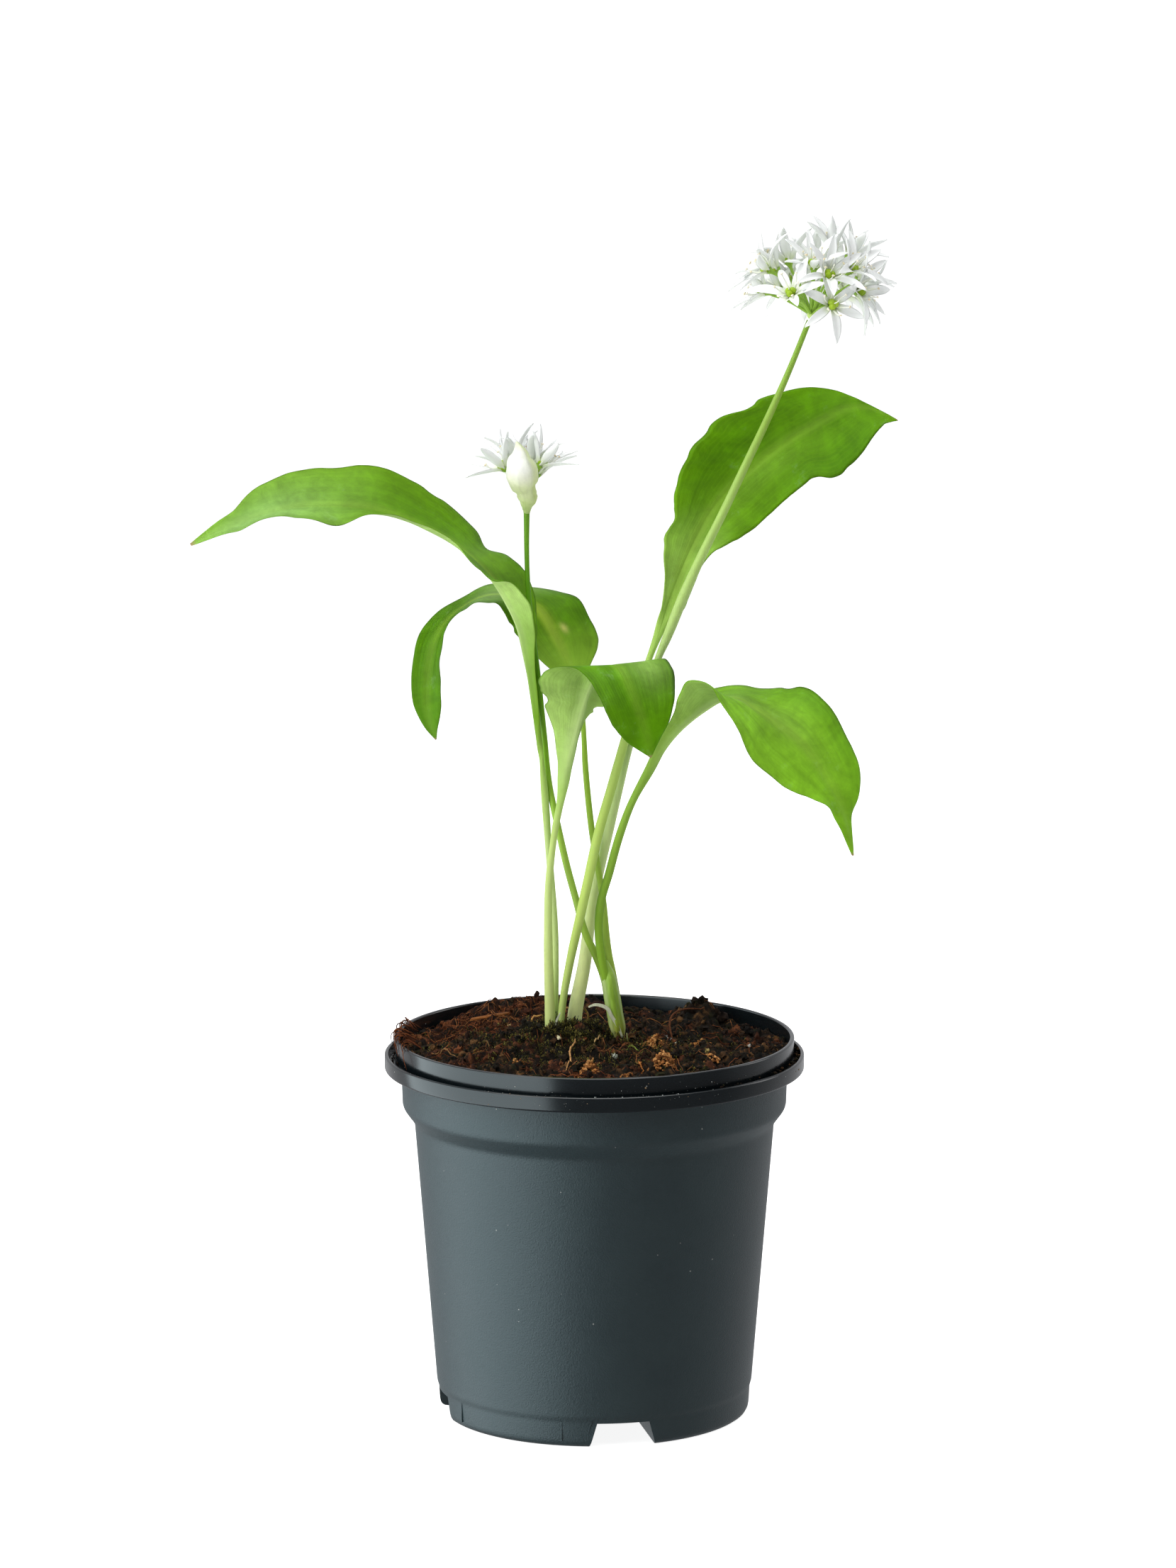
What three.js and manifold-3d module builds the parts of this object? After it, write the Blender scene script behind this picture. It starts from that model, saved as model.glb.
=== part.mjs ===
// Potted wild garlic: a moulded pot filled with peat, five leaves and two flowering stems.
// Millimetres, +Z up, the front towards -Y. The origin is the middle of the pot's base.

import * as THREE from "three";
import { mergeVertices } from "three/addons/utils/BufferGeometryUtils.js";
import Module from "manifold-3d";

// Driving dimensions
const POT_HEIGHT = 109.8;
const COLLAR_RADIUS = 60;
const COLLAR_HEIGHT = 4.4;
const COLLAR_DROP = 4.9;
const LIP_RADIUS = 57.2;
const SHOULDER_RADIUS = 55.2;
const SHOULDER_FOOT = 85.2;
const BASE_RADIUS = 44.8;
const POT_WALL = 1.3;
const POT_FLOOR = 1.5;
const POT_SEGMENTS = 44;
const WEB_WIDTH = 6;
const WEB_AZIMUTHS = [-99.5, 20.5, 140.5];

const CHANNEL_COUNT = 4;
const CHANNEL_AZIMUTH = -79.3;
const CHANNEL_WIDTH = 19.5;
const CHANNEL_TOP_WIDTH = 15;
const CHANNEL_HEIGHT = 7.2;
const CHANNEL_INNER_END = 14;
const DRAIN_RADIUS = 4;
const DRAIN_PLACE = 33;
const DRAIN_DEPTH = 6;

const FIT_GAP = 0.3;
const SOIL_GAP = 0.55;
const SOIL_LEVEL = 106.2;
const SOIL_FALL = 1.6;
const SOIL_SEGMENTS = 36;
const STEM_FOOT = 101;

const BLADE_THICKNESS = 0.7;
const RIB_HALF_WIDTH = 1.6;
const RIB_THICKNESS = 1.7;
const BLADE_STEPS = 2;
const BLADE_ACROSS = [-1, -0.6, -0.2, 0, 0.2, 0.6, 1];

const TEPAL_LENGTH = 10.6;
const TEPAL_WIDTH = 3.3;
const TEPAL_THICKNESS = 0.65;
const TEPAL_WIDEST = 0.48;
const TEPAL_CURL = 0.35;
const TEPAL_ROOT = 0.9;
const TEPALS = 6;
const CUP_RADIUS = 1.5;
const OVARY_RADIUS = 1.3;
const OVARY_HEIGHT = 2.2;
const PEDICEL_RADIUS = 0.5;
const TALL_HUB_RADIUS = 1.5;
const POST_RADIUS = 1.9;
const POST_FOOT_RADIUS = 1.5;
const POST_HEIGHT = 4.4;

// Solids: closed meshes go through the boolean library where a piece is cut or joined
const wasm = await Module();
wasm.setup();

function solidOf(geometry) {
  const bare = geometry.clone();
  bare.deleteAttribute("normal");
  bare.deleteAttribute("uv");
  const merged = mergeVertices(bare, 1e-4);
  const vertProperties = new Float32Array(merged.attributes.position.array);
  const triVerts = new Uint32Array(merged.index.array);
  return new wasm.Manifold(new wasm.Mesh({ numProp: 3, vertProperties, triVerts }));
}

function geometryOf(solid) {
  const mesh = solid.getMesh();
  const geometry = new THREE.BufferGeometry();
  geometry.setAttribute("position", new THREE.BufferAttribute(mesh.vertProperties, 3));
  geometry.setIndex(new THREE.BufferAttribute(mesh.triVerts, 1));
  geometry.computeVertexNormals();
  return geometry;
}

function joined(solids) {
  return solids.reduce((whole, piece) => whole.add(piece));
}

function subPart(name, geometry, color, roughness) {
  const material = new THREE.MeshStandardMaterial({ color, roughness, metalness: 0 });
  const mesh = new THREE.Mesh(geometry, material);
  mesh.name = name;
  return mesh;
}

function meshOf(points, triangles) {
  const geometry = new THREE.BufferGeometry();
  const flat = points.flatMap((p) => [p.x, p.y, p.z]);
  geometry.setAttribute("position", new THREE.Float32BufferAttribute(flat, 3));
  geometry.setIndex(triangles);
  return geometry;
}

function signedVolume(points, triangles) {
  let volume = 0;
  for (let i = 0; i < triangles.length; i += 3) {
    const [a, b, c] = [points[triangles[i]], points[triangles[i + 1]], points[triangles[i + 2]]];
    volume += a.dot(b.clone().cross(c)) / 6;
  }
  return volume;
}

function outwardMesh(points, triangles) {
  const order = [...triangles];
  if (signedVolume(points, triangles) < 0) {
    order.reverse();
  }
  return meshOf(points, order);
}

// A smooth run through rows of numbers, whose first three are a place in space.
// The slope at a row is weighted by the distance to its neighbours, so close rows don't overshoot.
// steps gives how many steps follow a row.
function smoothRows(rows, steps) {
  const reach = rows.slice(1).map((row, i) => Math.hypot(...[0, 1, 2].map((k) => row[k] - rows[i][k])));
  const slope = rows.map((row, i) => row.map((value, k) => {
    const before = i > 0 ? (value - rows[i - 1][k]) / reach[i - 1] : null;
    const after = i < reach.length ? (rows[i + 1][k] - value) / reach[i] : null;
    if (before === null || after === null) {
      return before ?? after;
    }
    return (before * reach[i] + after * reach[i - 1]) / (reach[i] + reach[i - 1]);
  }));
  const run = [];
  for (let i = 0; i < reach.length; i += 1) {
    for (let step = 0; step < steps(i); step += 1) {
      const t = step / steps(i);
      const [t2, t3] = [t * t, t * t * t];
      run.push(rows[i].map((value, k) => (2 * t3 - 3 * t2 + 1) * value
        + (3 * t2 - 2 * t3) * rows[i + 1][k]
        + (t3 - 2 * t2 + t) * reach[i] * slope[i][k]
        + (t3 - t2) * reach[i] * slope[i + 1][k]));
    }
  }
  run.push(rows.at(-1));
  return run;
}

// The pot: one injection-moulded shell, with a double rim, a shoulder and four drainage channels.
// Its outline, as radius and height, runs up the outside and down the inside.
function potProfile() {
  const collarTop = POT_HEIGHT - COLLAR_DROP;
  const collarFoot = collarTop - COLLAR_HEIGHT;
  const groove = collarFoot + POT_WALL;
  const outside = [
    [0, 0],
    [BASE_RADIUS - 3, 0],
    [BASE_RADIUS - 0.7, 1.8],
    [BASE_RADIUS, 8.2],
    [BASE_RADIUS + 0.6, 8.8],
    [SHOULDER_RADIUS - 3.7, SHOULDER_FOOT],
    [SHOULDER_RADIUS - 0.3, SHOULDER_FOOT + 4.6],
    [SHOULDER_RADIUS, collarFoot],
    [COLLAR_RADIUS - 0.4, collarFoot],
    [COLLAR_RADIUS, collarFoot + 0.5],
    [COLLAR_RADIUS, collarTop - 0.4],
    [COLLAR_RADIUS - 0.4, collarTop],
    [COLLAR_RADIUS - 1.1, collarTop],
    [COLLAR_RADIUS - 1.1, groove],
    [LIP_RADIUS - 0.5, groove],
    [LIP_RADIUS, POT_HEIGHT - 0.4],
    [LIP_RADIUS - 0.4, POT_HEIGHT],
  ];
  const inside = [
    [LIP_RADIUS - 0.9, POT_HEIGHT],
    [LIP_RADIUS - POT_WALL, POT_HEIGHT - 0.4],
    [LIP_RADIUS - 0.5 - POT_WALL, groove - 0.3],
    [SHOULDER_RADIUS - POT_WALL, collarFoot - 1],
    [SHOULDER_RADIUS - 0.3 - POT_WALL, SHOULDER_FOOT + 5],
    [SHOULDER_RADIUS - 3.7 - POT_WALL, SHOULDER_FOOT + 0.4],
    [BASE_RADIUS + 0.4 - POT_WALL, 8],
    [BASE_RADIUS - 0.9 - POT_WALL, POT_FLOOR],
    [0, POT_FLOOR],
  ];
  return { outside, inside };
}

function turned(profile, segments) {
  const points = profile.map(([radius, height]) => new THREE.Vector2(radius, height));
  const lathe = new THREE.LatheGeometry(points, segments);
  lathe.rotateX(Math.PI / 2);
  return lathe;
}

function channelBlocks(spread, rise, innerEnd, outerEnd) {
  const half = CHANNEL_WIDTH / 2 + spread;
  const topHalf = CHANNEL_TOP_WIDTH / 2 + spread;
  const section = new THREE.Shape();
  section.moveTo(-half, -1);
  section.lineTo(half, -1);
  section.lineTo(topHalf, CHANNEL_HEIGHT + rise);
  section.lineTo(-topHalf, CHANNEL_HEIGHT + rise);
  section.closePath();
  const depth = outerEnd - innerEnd;
  const blocks = [];
  for (let i = 0; i < CHANNEL_COUNT; i += 1) {
    const block = new THREE.ExtrudeGeometry(section, { depth, bevelEnabled: false });
    block.translate(0, 0, innerEnd);
    block.rotateX(Math.PI / 2);
    block.rotateZ(THREE.MathUtils.degToRad(CHANNEL_AZIMUTH + 90 + (360 / CHANNEL_COUNT) * i));
    blocks.push(solidOf(block));
  }
  return joined(blocks);
}

function drainHoles() {
  const holes = [];
  for (let i = 0; i < CHANNEL_COUNT; i += 1) {
    const azimuth = THREE.MathUtils.degToRad(CHANNEL_AZIMUTH + (360 / CHANNEL_COUNT) * i);
    const hole = new THREE.CylinderGeometry(DRAIN_RADIUS, DRAIN_RADIUS, DRAIN_DEPTH, 16);
    hole.rotateX(Math.PI / 2);
    hole.translate(DRAIN_PLACE * Math.cos(azimuth), DRAIN_PLACE * Math.sin(azimuth), CHANNEL_HEIGHT + 1);
    holes.push(solidOf(hole));
  }
  return joined(holes);
}

// The short webs that tie the collar to the lip, sunk a little into both
function webBlocks() {
  const collarTop = POT_HEIGHT - COLLAR_DROP;
  const height = COLLAR_HEIGHT - 1;
  const [inner, outer] = [LIP_RADIUS - 0.7, COLLAR_RADIUS - 0.3];
  const webs = [];
  for (const azimuth of WEB_AZIMUTHS) {
    const web = new THREE.BoxGeometry(outer - inner, WEB_WIDTH, height);
    web.translate((inner + outer) / 2, 0, collarTop - 0.5 - height / 2);
    web.rotateZ(THREE.MathUtils.degToRad(azimuth));
    webs.push(solidOf(web));
  }
  return joined(webs);
}

function makePot() {
  const { outside, inside } = potProfile();
  const shell = solidOf(turned([...outside, ...inside], POT_SEGMENTS));
  const filled = solidOf(turned([...outside, [0, POT_HEIGHT]], POT_SEGMENTS));
  const roofs = channelBlocks(POT_WALL, POT_WALL, CHANNEL_INNER_END - POT_WALL, BASE_RADIUS - 0.5);
  const insideRoofs = roofs.intersect(filled);
  const channels = channelBlocks(0, 0, CHANNEL_INNER_END, COLLAR_RADIUS);
  const pot = shell.add(insideRoofs).add(webBlocks()).subtract(channels).subtract(drainHoles());
  return subPart("pot", geometryOf(pot), 0x2c3436, 0.5);
}

// A leaf: a round stalk that opens into a thin blade, as one closed solid.
// A stalk row is a place on the midrib and the stalk's radius. A blade row is a place on the
// midrib, then where the near edge and the far edge lie from it.
function leafRows(stalk, blade) {
  const stalkRows = stalk.map(([x, y, z, radius]) => [x, y, z, -radius, 0, 0, radius, 0, 0, 2 * radius]);
  const stalkThickness = 2 * stalk.at(-1)[3];
  const bladeRows = blade.map(([midrib, near, far], i) => {
    const along = i / (blade.length - 1);
    const rib = THREE.MathUtils.lerp(Math.min(stalkThickness, RIB_THICKNESS), BLADE_THICKNESS, along);
    return [...midrib, ...near, ...far, rib];
  });
  return [...stalkRows, ...bladeRows];
}

function leafPoint(row, across) {
  const middle = new THREE.Vector3(row[0], row[1], row[2]);
  const near = new THREE.Vector3(row[3], row[4], row[5]);
  const far = new THREE.Vector3(row[6], row[7], row[8]);
  const side = far.clone().sub(near).normalize();
  const edge = across < 0 ? near : far;
  const start = side.multiplyScalar(Math.sign(across) * edge.length());
  const leave = edge.clone().lerp(start, 0.5);
  const s = Math.abs(across);
  return middle.addScaledVector(leave, s * (1 - s)).addScaledVector(edge, s * s);
}

function makeLeaf(name, stalk, blade) {
  const rows = smoothRows(leafRows(stalk, blade), (i) => (i < stalk.length - 1 ? 1 : BLADE_STEPS));
  const grid = rows.map((row) => BLADE_ACROSS.map((across) => leafPoint(row, across)));
  const last = rows.length - 1;
  const wide = BLADE_ACROSS.length;
  const upper = [];
  const lower = [];
  for (let i = 0; i <= last; i += 1) {
    const reach = grid[i][wide - 1].distanceTo(grid[i][0]) / 2;
    for (let j = 0; j < wide; j += 1) {
      const along = grid[Math.min(i + 1, last)][j].clone().sub(grid[Math.max(i - 1, 0)][j]);
      const across = grid[i][Math.min(j + 1, wide - 1)].clone().sub(grid[i][Math.max(j - 1, 0)]);
      const normal = across.cross(along).normalize();
      const ribHalf = Math.min(RIB_HALF_WIDTH, reach);
      const inRib = Math.max(0, 1 - (BLADE_ACROSS[j] * reach / ribHalf) ** 2);
      const thickness = BLADE_THICKNESS + (rows[i][9] - BLADE_THICKNESS) * Math.sqrt(inRib);
      upper.push(grid[i][j].clone().addScaledVector(normal, thickness / 2));
      lower.push(grid[i][j].clone().addScaledVector(normal, -thickness / 2));
    }
  }
  const points = [...upper, ...lower];
  const triangles = [];
  const top = (i, j) => i * wide + j;
  const under = (i, j) => upper.length + i * wide + j;
  const quad = (a, b, c, d) => triangles.push(a, b, c, a, c, d);
  for (let i = 0; i < last; i += 1) {
    for (let j = 0; j < wide - 1; j += 1) {
      quad(top(i, j), top(i, j + 1), top(i + 1, j + 1), top(i + 1, j));
      triangles.push(under(i, j), under(i + 1, j + 1), under(i, j + 1));
      triangles.push(under(i, j), under(i + 1, j), under(i + 1, j + 1));
    }
    quad(under(i, 0), top(i, 0), top(i + 1, 0), under(i + 1, 0));
    quad(top(i, wide - 1), under(i, wide - 1), under(i + 1, wide - 1), top(i + 1, wide - 1));
  }
  for (let j = 0; j < wide - 1; j += 1) {
    quad(under(0, j), under(0, j + 1), top(0, j + 1), top(0, j));
    quad(top(last, j), top(last, j + 1), under(last, j + 1), under(last, j));
  }
  return subPart(name, outwardMesh(points, triangles), 0x5f9a26, 0.45);
}

// A round stem that tapers along a smooth path, with flat ends
function taperedStem(path, steps, sides) {
  const rows = smoothRows(path, () => steps);
  const points = [];
  const triangles = [];
  rows.forEach(([x, y, z, radius], i) => {
    const before = new THREE.Vector3(...rows[Math.max(i - 1, 0)].slice(0, 3));
    const after = new THREE.Vector3(...rows[Math.min(i + 1, rows.length - 1)].slice(0, 3));
    const along = after.sub(before).normalize();
    const right = new THREE.Vector3(1, 0, 0).projectOnPlane(along).normalize();
    const back = along.clone().cross(right);
    for (let k = 0; k < sides; k += 1) {
      const turn = (2 * Math.PI * k) / sides;
      const place = new THREE.Vector3(x, y, z);
      place.addScaledVector(right, radius * Math.cos(turn));
      place.addScaledVector(back, radius * Math.sin(turn));
      points.push(place);
    }
  });
  const ring = (i, k) => i * sides + (k % sides);
  for (let i = 0; i < rows.length - 1; i += 1) {
    for (let k = 0; k < sides; k += 1) {
      triangles.push(ring(i, k), ring(i, k + 1), ring(i + 1, k + 1));
      triangles.push(ring(i, k), ring(i + 1, k + 1), ring(i + 1, k));
    }
  }
  for (let k = 1; k < sides - 1; k += 1) {
    triangles.push(ring(0, 0), ring(0, k + 1), ring(0, k));
    triangles.push(ring(rows.length - 1, 0), ring(rows.length - 1, k), ring(rows.length - 1, k + 1));
  }
  return outwardMesh(points, triangles);
}

// The leaves' stalks and blades
const leaves = {
  leaf_left: {
    stalk: [
      [-11.2, -4, STEM_FOOT, 1],
      [-11.2, -4, 115.5, 1],
      [-11.3, -3, 141, 1],
      [-13, -4.8, 165, 0.95],
      [-14.5, -9.3, 187, 0.85],
    ],
    blade: [
      [[-16.5, -9.6, 204], [1, -1.2, 0], [-0.4, 1.7, 0]],
      [[-18.7, -9.8, 219], [2, -2.2, 0.3], [1.5, 4.6, -0.6]],
      [[-21.5, -9, 230], [4.8, -3.8, 0], [5.3, 6, 0]],
      [[-24.5, -9, 236.3], [6.2, -5.5, 0.8], [7.5, 9, 1]],
      [[-27.5, -9.5, 241.5], [4.5, -7, 1.2], [8, 12, 2]],
      [[-31, -10, 246], [2.3, -8.6, -2.2], [6.4, 14.5, 1.8]],
      [[-35, -11, 250], [2.7, -7, -2.8], [4.6, 15.5, -0.5]],
      [[-40.5, -12, 254.3], [2.5, -5.5, -0.8], [6.8, 15.8, 0.8]],
      [[-47, -13.5, 258], [1.5, -6.8, 1], [5, 15.4, 5]],
      [[-53.5, -15, 261], [0.6, -9, 1.4], [2.2, 14.8, 8.4]],
      [[-61.5, -16.5, 263.8], [0, -9.7, 0], [0.6, 12.8, 10.4]],
      [[-71, -18, 265.2], [-0.1, -10, -4.1], [-0.8, 12, 9.2]],
      [[-81, -19.5, 265.1], [-0.6, -9.2, -2.2], [-2.7, 10.4, 8.5]],
      [[-90, -21, 263.7], [-1, -7, -0.8], [-4, 8, 6.2]],
      [[-98.6, -22.5, 261.1], [-0.3, -4.5, -1.9], [-2.2, 3.8, 2.8]],
      [[-105.7, -24, 258.2], [0.3, -2, -0.9], [-0.8, 1.6, 2]],
      [[-112.6, -25, 255], [0.2, -0.2, -0.3], [-0.2, 0.2, 0.3]],
    ],
  },
  leaf_back: {
    stalk: [
      [7.2, -6, STEM_FOOT, 1.1],
      [7, -6, 115, 1.1],
      [4.5, -4, 134, 1.05],
      [2.4, -3.9, 150, 0.95],
      [-1, -3.5, 172, 0.9],
      [-2.5, -1, 187, 0.85],
      [-3.4, 3, 201, 0.85],
    ],
    blade: [
      [[-5.4, 7, 211.3], [-1.8, -1, -0.4], [2.2, 1, -0.2]],
      [[-7.8, 9, 216.5], [-4.8, -3, -1.8], [6.9, 3, -1.2]],
      [[-10.6, 11, 222], [-8.2, -4, -1.5], [11.7, 6, -0.6]],
      [[-13.6, 13, 227.1], [-9.4, -5.2, -1.6], [12.3, 7, 0.2]],
      [[-17, 15, 231.2], [-8.6, -7, -0.8], [12, 8.2, 1.5]],
      [[-21.2, 16, 233.8], [-6, -8.8, -0.9], [10.2, 10, 0.7]],
      [[-26.5, 16.5, 234.6], [-3.7, -9.4, -1.1], [6.6, 10.4, 1]],
      [[-32.2, 16.5, 233.8], [-2.2, -8.5, -0.5], [2.6, 9.2, 2.5]],
      [[-37.7, 16, 230.9], [-0.2, -7, 0.3], [0.3, 7, 2]],
      [[-42.6, 15, 226.6], [1.3, -6, 0.9], [-2.1, 5, 2.5]],
      [[-45.5, 14, 221.4], [2.3, -5.4, 1.3], [-4.3, 3.2, 1.8]],
      [[-47, 13, 215.5], [3.2, -4.8, 0.9], [-4.7, 2, 0.7]],
      [[-47.8, 12, 209], [4.1, -4, 1.1], [-4.5, 1.5, -0.8]],
      [[-47.8, 11.5, 202.5], [4.2, -3.3, 1.2], [-3.5, 1, -0.2]],
      [[-46.7, 11, 197.3], [2, -1.8, 0.3], [-1.9, 0.6, -0.3]],
      [[-45.3, 11, 193.5], [0.3, -0.1, 0.2], [-0.3, 0.1, 0.2]],
    ],
  },
  leaf_centre: {
    stalk: [
      [-12.9, -9, STEM_FOOT, 1.3],
      [-12.8, -9, 115.5, 1.3],
      [-13.1, -9, 137.5, 1.25],
      [-12.8, -10.5, 157.3, 1.05],
      [-11.1, -13, 172, 0.95],
    ],
    blade: [
      [[-8.8, -14.5, 183.5], [-1.6, 0.5, 0], [1, 0.5, 0]],
      [[-7.5, -15, 190.3], [-3.2, 1.3, 1.1], [1, 2.5, -0.4]],
      [[-5.8, -15, 197.8], [-5.8, 1.4, 2.3], [1.2, 4, -1]],
      [[-3.9, -15, 205], [-10, 1, 2], [2, 5.5, -0.8]],
      [[-1.7, -15, 212], [-13.6, 0.1, 1.4], [4.4, 6.6, -6.2]],
      [[0.7, -16, 217], [-14.6, -0.6, 0.5], [7.6, 8.3, -6]],
      [[3.5, -18, 219.5], [-13.1, -1.6, 0], [11.6, 9.4, -2.8]],
      [[5.8, -20.5, 220.2], [-11.1, -2.4, -0.8], [13.5, 9.2, 0.4]],
      [[7.7, -23.5, 218.4], [-9, -2.8, -1.8], [14.1, 8.2, 0.4]],
      [[9.6, -25.5, 214.6], [-8.1, -3.5, -2.2], [13, 7, 0.5]],
      [[11.8, -27, 209.8], [-8.3, -3.8, -1.7], [10.6, 6, 0.6]],
      [[13.6, -28, 205], [-7.8, -3, -1.1], [7.6, 4.4, 0.4]],
      [[15, -28.5, 200.1], [-5.6, -1.9, -0.3], [3.7, 2.4, 0.6]],
      [[15.7, -29, 195.4], [-0.3, -0.1, 0.2], [0.3, 0.1, 0.2]],
    ],
  },
  leaf_right: {
    stalk: [
      [5.1, -10.5, STEM_FOOT, 1.2],
      [4.7, -10.5, 115.2, 1.2],
      [2.9, -9.5, 127, 1.2],
      [1.2, -9.5, 142.7, 1.2],
      [1.9, -10, 150.8, 1.2],
      [4.1, -10.5, 158.7, 1.2],
      [6.9, -11.5, 169.3, 1.2],
      [10.7, -13, 180, 1.15],
    ],
    blade: [
      [[14.9, -14, 188.3], [-1.1, -0.5, 0.6], [1, 1.2, -0.7]],
      [[19.3, -15, 195.8], [-1.8, -1.5, 1.5], [1, 2.7, -0.5]],
      [[23.6, -16, 201], [-3.3, -2.5, 1.5], [-0.2, 5, 0.8]],
      [[28, -16.5, 205], [-5.5, -3.4, 2.3], [-0.7, 7, 1.6]],
      [[31.8, -17, 207.7], [-8, -4.2, 4.6], [-1.4, 8.6, 2.3]],
      [[35, -17.5, 209.6], [-8.6, -5.6, 6.7], [-1.8, 10.5, 2]],
      [[37.8, -18, 210.5], [-6, -7.9, 5.3], [-0.9, 12.2, 1.6]],
      [[40.9, -18.5, 210], [-5.8, -9.4, 1.6], [0.7, 13.4, 2.1]],
      [[44.5, -19, 208], [-7.2, -10, 0], [2.8, 13.8, 3.3]],
      [[48.9, -19.5, 205.3], [-8.5, -10.4, -2.7], [5, 13.3, 6.5]],
      [[53.2, -20, 202.1], [-9.5, -9.9, -6.5], [6.8, 12, 9.4]],
      [[57.6, -20.5, 198.5], [-7.9, -8.6, -8.8], [8.4, 10.6, 8.6]],
      [[61.4, -21, 193.8], [-6.2, -7, -8], [9, 8.9, 5.8]],
      [[65, -21.5, 188.2], [-4.5, -5.4, -4.6], [9.4, 6.6, 3.1]],
      [[68.2, -22, 182.6], [-2.9, -3.5, -2], [6.5, 4.2, 0.5]],
      [[70.4, -22.5, 176.9], [-2.5, -2.1, -0.3], [2.2, 2.4, 0.5]],
      [[71.9, -23, 171.3], [-1.6, -1, 0], [0.8, 1, 0]],
      [[72.7, -23.2, 166.4], [-0.3, -0.1, 0.1], [0.3, 0.1, 0.1]],
    ],
  },
  leaf_tall: {
    stalk: [
      [-9.4, -7, STEM_FOOT, 1],
      [-9.4, -7, 115.4, 1],
      [-6.8, -10, 133.8, 1.2],
      [-4.1, -12, 146.5, 1.35],
      [-1.4, -12.5, 159.1, 1.4],
      [1.3, -11.5, 171.3, 1.4],
      [4.8, -9.3, 183.2, 1.4],
      [8.2, -6.8, 195.1, 1.3],
      [11.9, -5.9, 208.1, 1.1],
      [15.2, -3.6, 218.6, 0.9],
    ],
    blade: [
      [[17.4, -1.4, 224.2], [-1, -0.4, 0.3], [1, -0.2, -0.4]],
      [[19.3, 1.2, 229.8], [-1.3, -0.8, 0.5], [1.9, -0.4, -1]],
      [[21.3, 2.6, 235.3], [-1.9, -1.3, 1], [3.5, -1, -3.3]],
      [[23, 3.6, 239.6], [-3.3, -1.6, 2.7], [3.8, -1.1, -3.5]],
      [[25.8, 5, 246.1], [-6.3, -2.5, 2.2], [4.6, -2, -1.5]],
      [[28.9, 6.5, 252.5], [-8.2, -3.4, 1.5], [5.3, -3.1, -3.5]],
      [[33, 8, 259.6], [-10.8, -4, 0.2], [5.9, -4.6, -8.2]],
      [[39.2, 9.5, 266.8], [-16.2, -4.5, 0.8], [5.7, -6, -11.6]],
      [[46.9, 11, 273.4], [-20.8, -4.4, 1.6], [5.1, -7.3, -11.6]],
      [[53.9, 11.5, 278.6], [-21.9, -3, 3.6], [5.4, -7.6, -10.6]],
      [[60.1, 11, 282.7], [-20.2, -1, 5.2], [6.6, -7.4, -12.1]],
      [[65.8, 9.5, 286.4], [-16.5, 1.3, 5.7], [7.6, -6.5, -11.8]],
      [[71.2, 7.5, 289.2], [-11.9, 2.8, 5.6], [7, -5, -8.5]],
      [[76.3, 5, 289.9], [-8, 3, 4.3], [5.2, -3, -4.8]],
      [[81.2, 2.5, 288.6], [-4.5, 2.3, 2.2], [2.5, -1.2, -2.5]],
      [[85.3, 1, 286.8], [-0.4, 0.2, 0.3], [0.2, -0.1, -0.3]],
    ],
  },
};

// The flowering stems, each a row of places and radii from the soil to the flower head
const tallScape = [
  [-5.4, -1, STEM_FOOT, 1.9],
  [-5.4, -1, 114.8, 1.85],
  [-2.6, 0, 131.7, 1.7],
  [-1.2, 0, 144.1, 1.6],
  [1.1, -0.5, 156.7, 1.5],
  [4, -1.5, 169.5, 1.45],
  [6.8, -3, 182, 1.35],
  [9.8, -4, 194.6, 1.25],
  [14.2, -3.4, 208.2, 1.1],
  [18.4, -4.5, 220.6, 1],
  [20.4, -4.4, 225.4, 1.3],
  [24.7, -3, 236.1, 1.5],
  [29.8, -1.7, 247.5, 1.3],
  [36.3, -1, 260.7, 1.22],
  [42.5, -0.5, 273.9, 1.15],
  [48.8, 0, 287.3, 1.05],
  [54.7, 0, 300.8, 0.85],
  [60.3, 0, 314.9, 0.75],
];
const smallScape = [
  [3.3, -6, STEM_FOOT, 1.1],
  [3.1, -6, 115.2, 1.1],
  [0.9, -6, 131.1, 1.1],
  [-2.1, -5.5, 139.4, 1.05],
  [-5.5, -6, 151.4, 1],
  [-7.8, -7, 160.3, 1],
  [-10.4, -7.7, 172.1, 0.95],
  [-12.7, -7.2, 183.3, 0.9],
  [-14.3, -7, 198.6, 0.85],
  [-16, -8.2, 215.8, 0.8],
  [-17.7, -7.2, 229.8, 0.75],
  [-18.7, -5.3, 239.7, 0.7],
  [-19.1, -3.6, 250.6, 0.7],
  [-19.2, -2.75, 259.8, 0.85],
];

// A flower: six narrow tepals round a green ovary, on a thin stalk from the head's hub.
// It is one closed skin, made along +Z and then turned to its direction. A tepal runs from the
// cup over a cross bar to its tip, and shares the corners of its root with the next ones.

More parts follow.
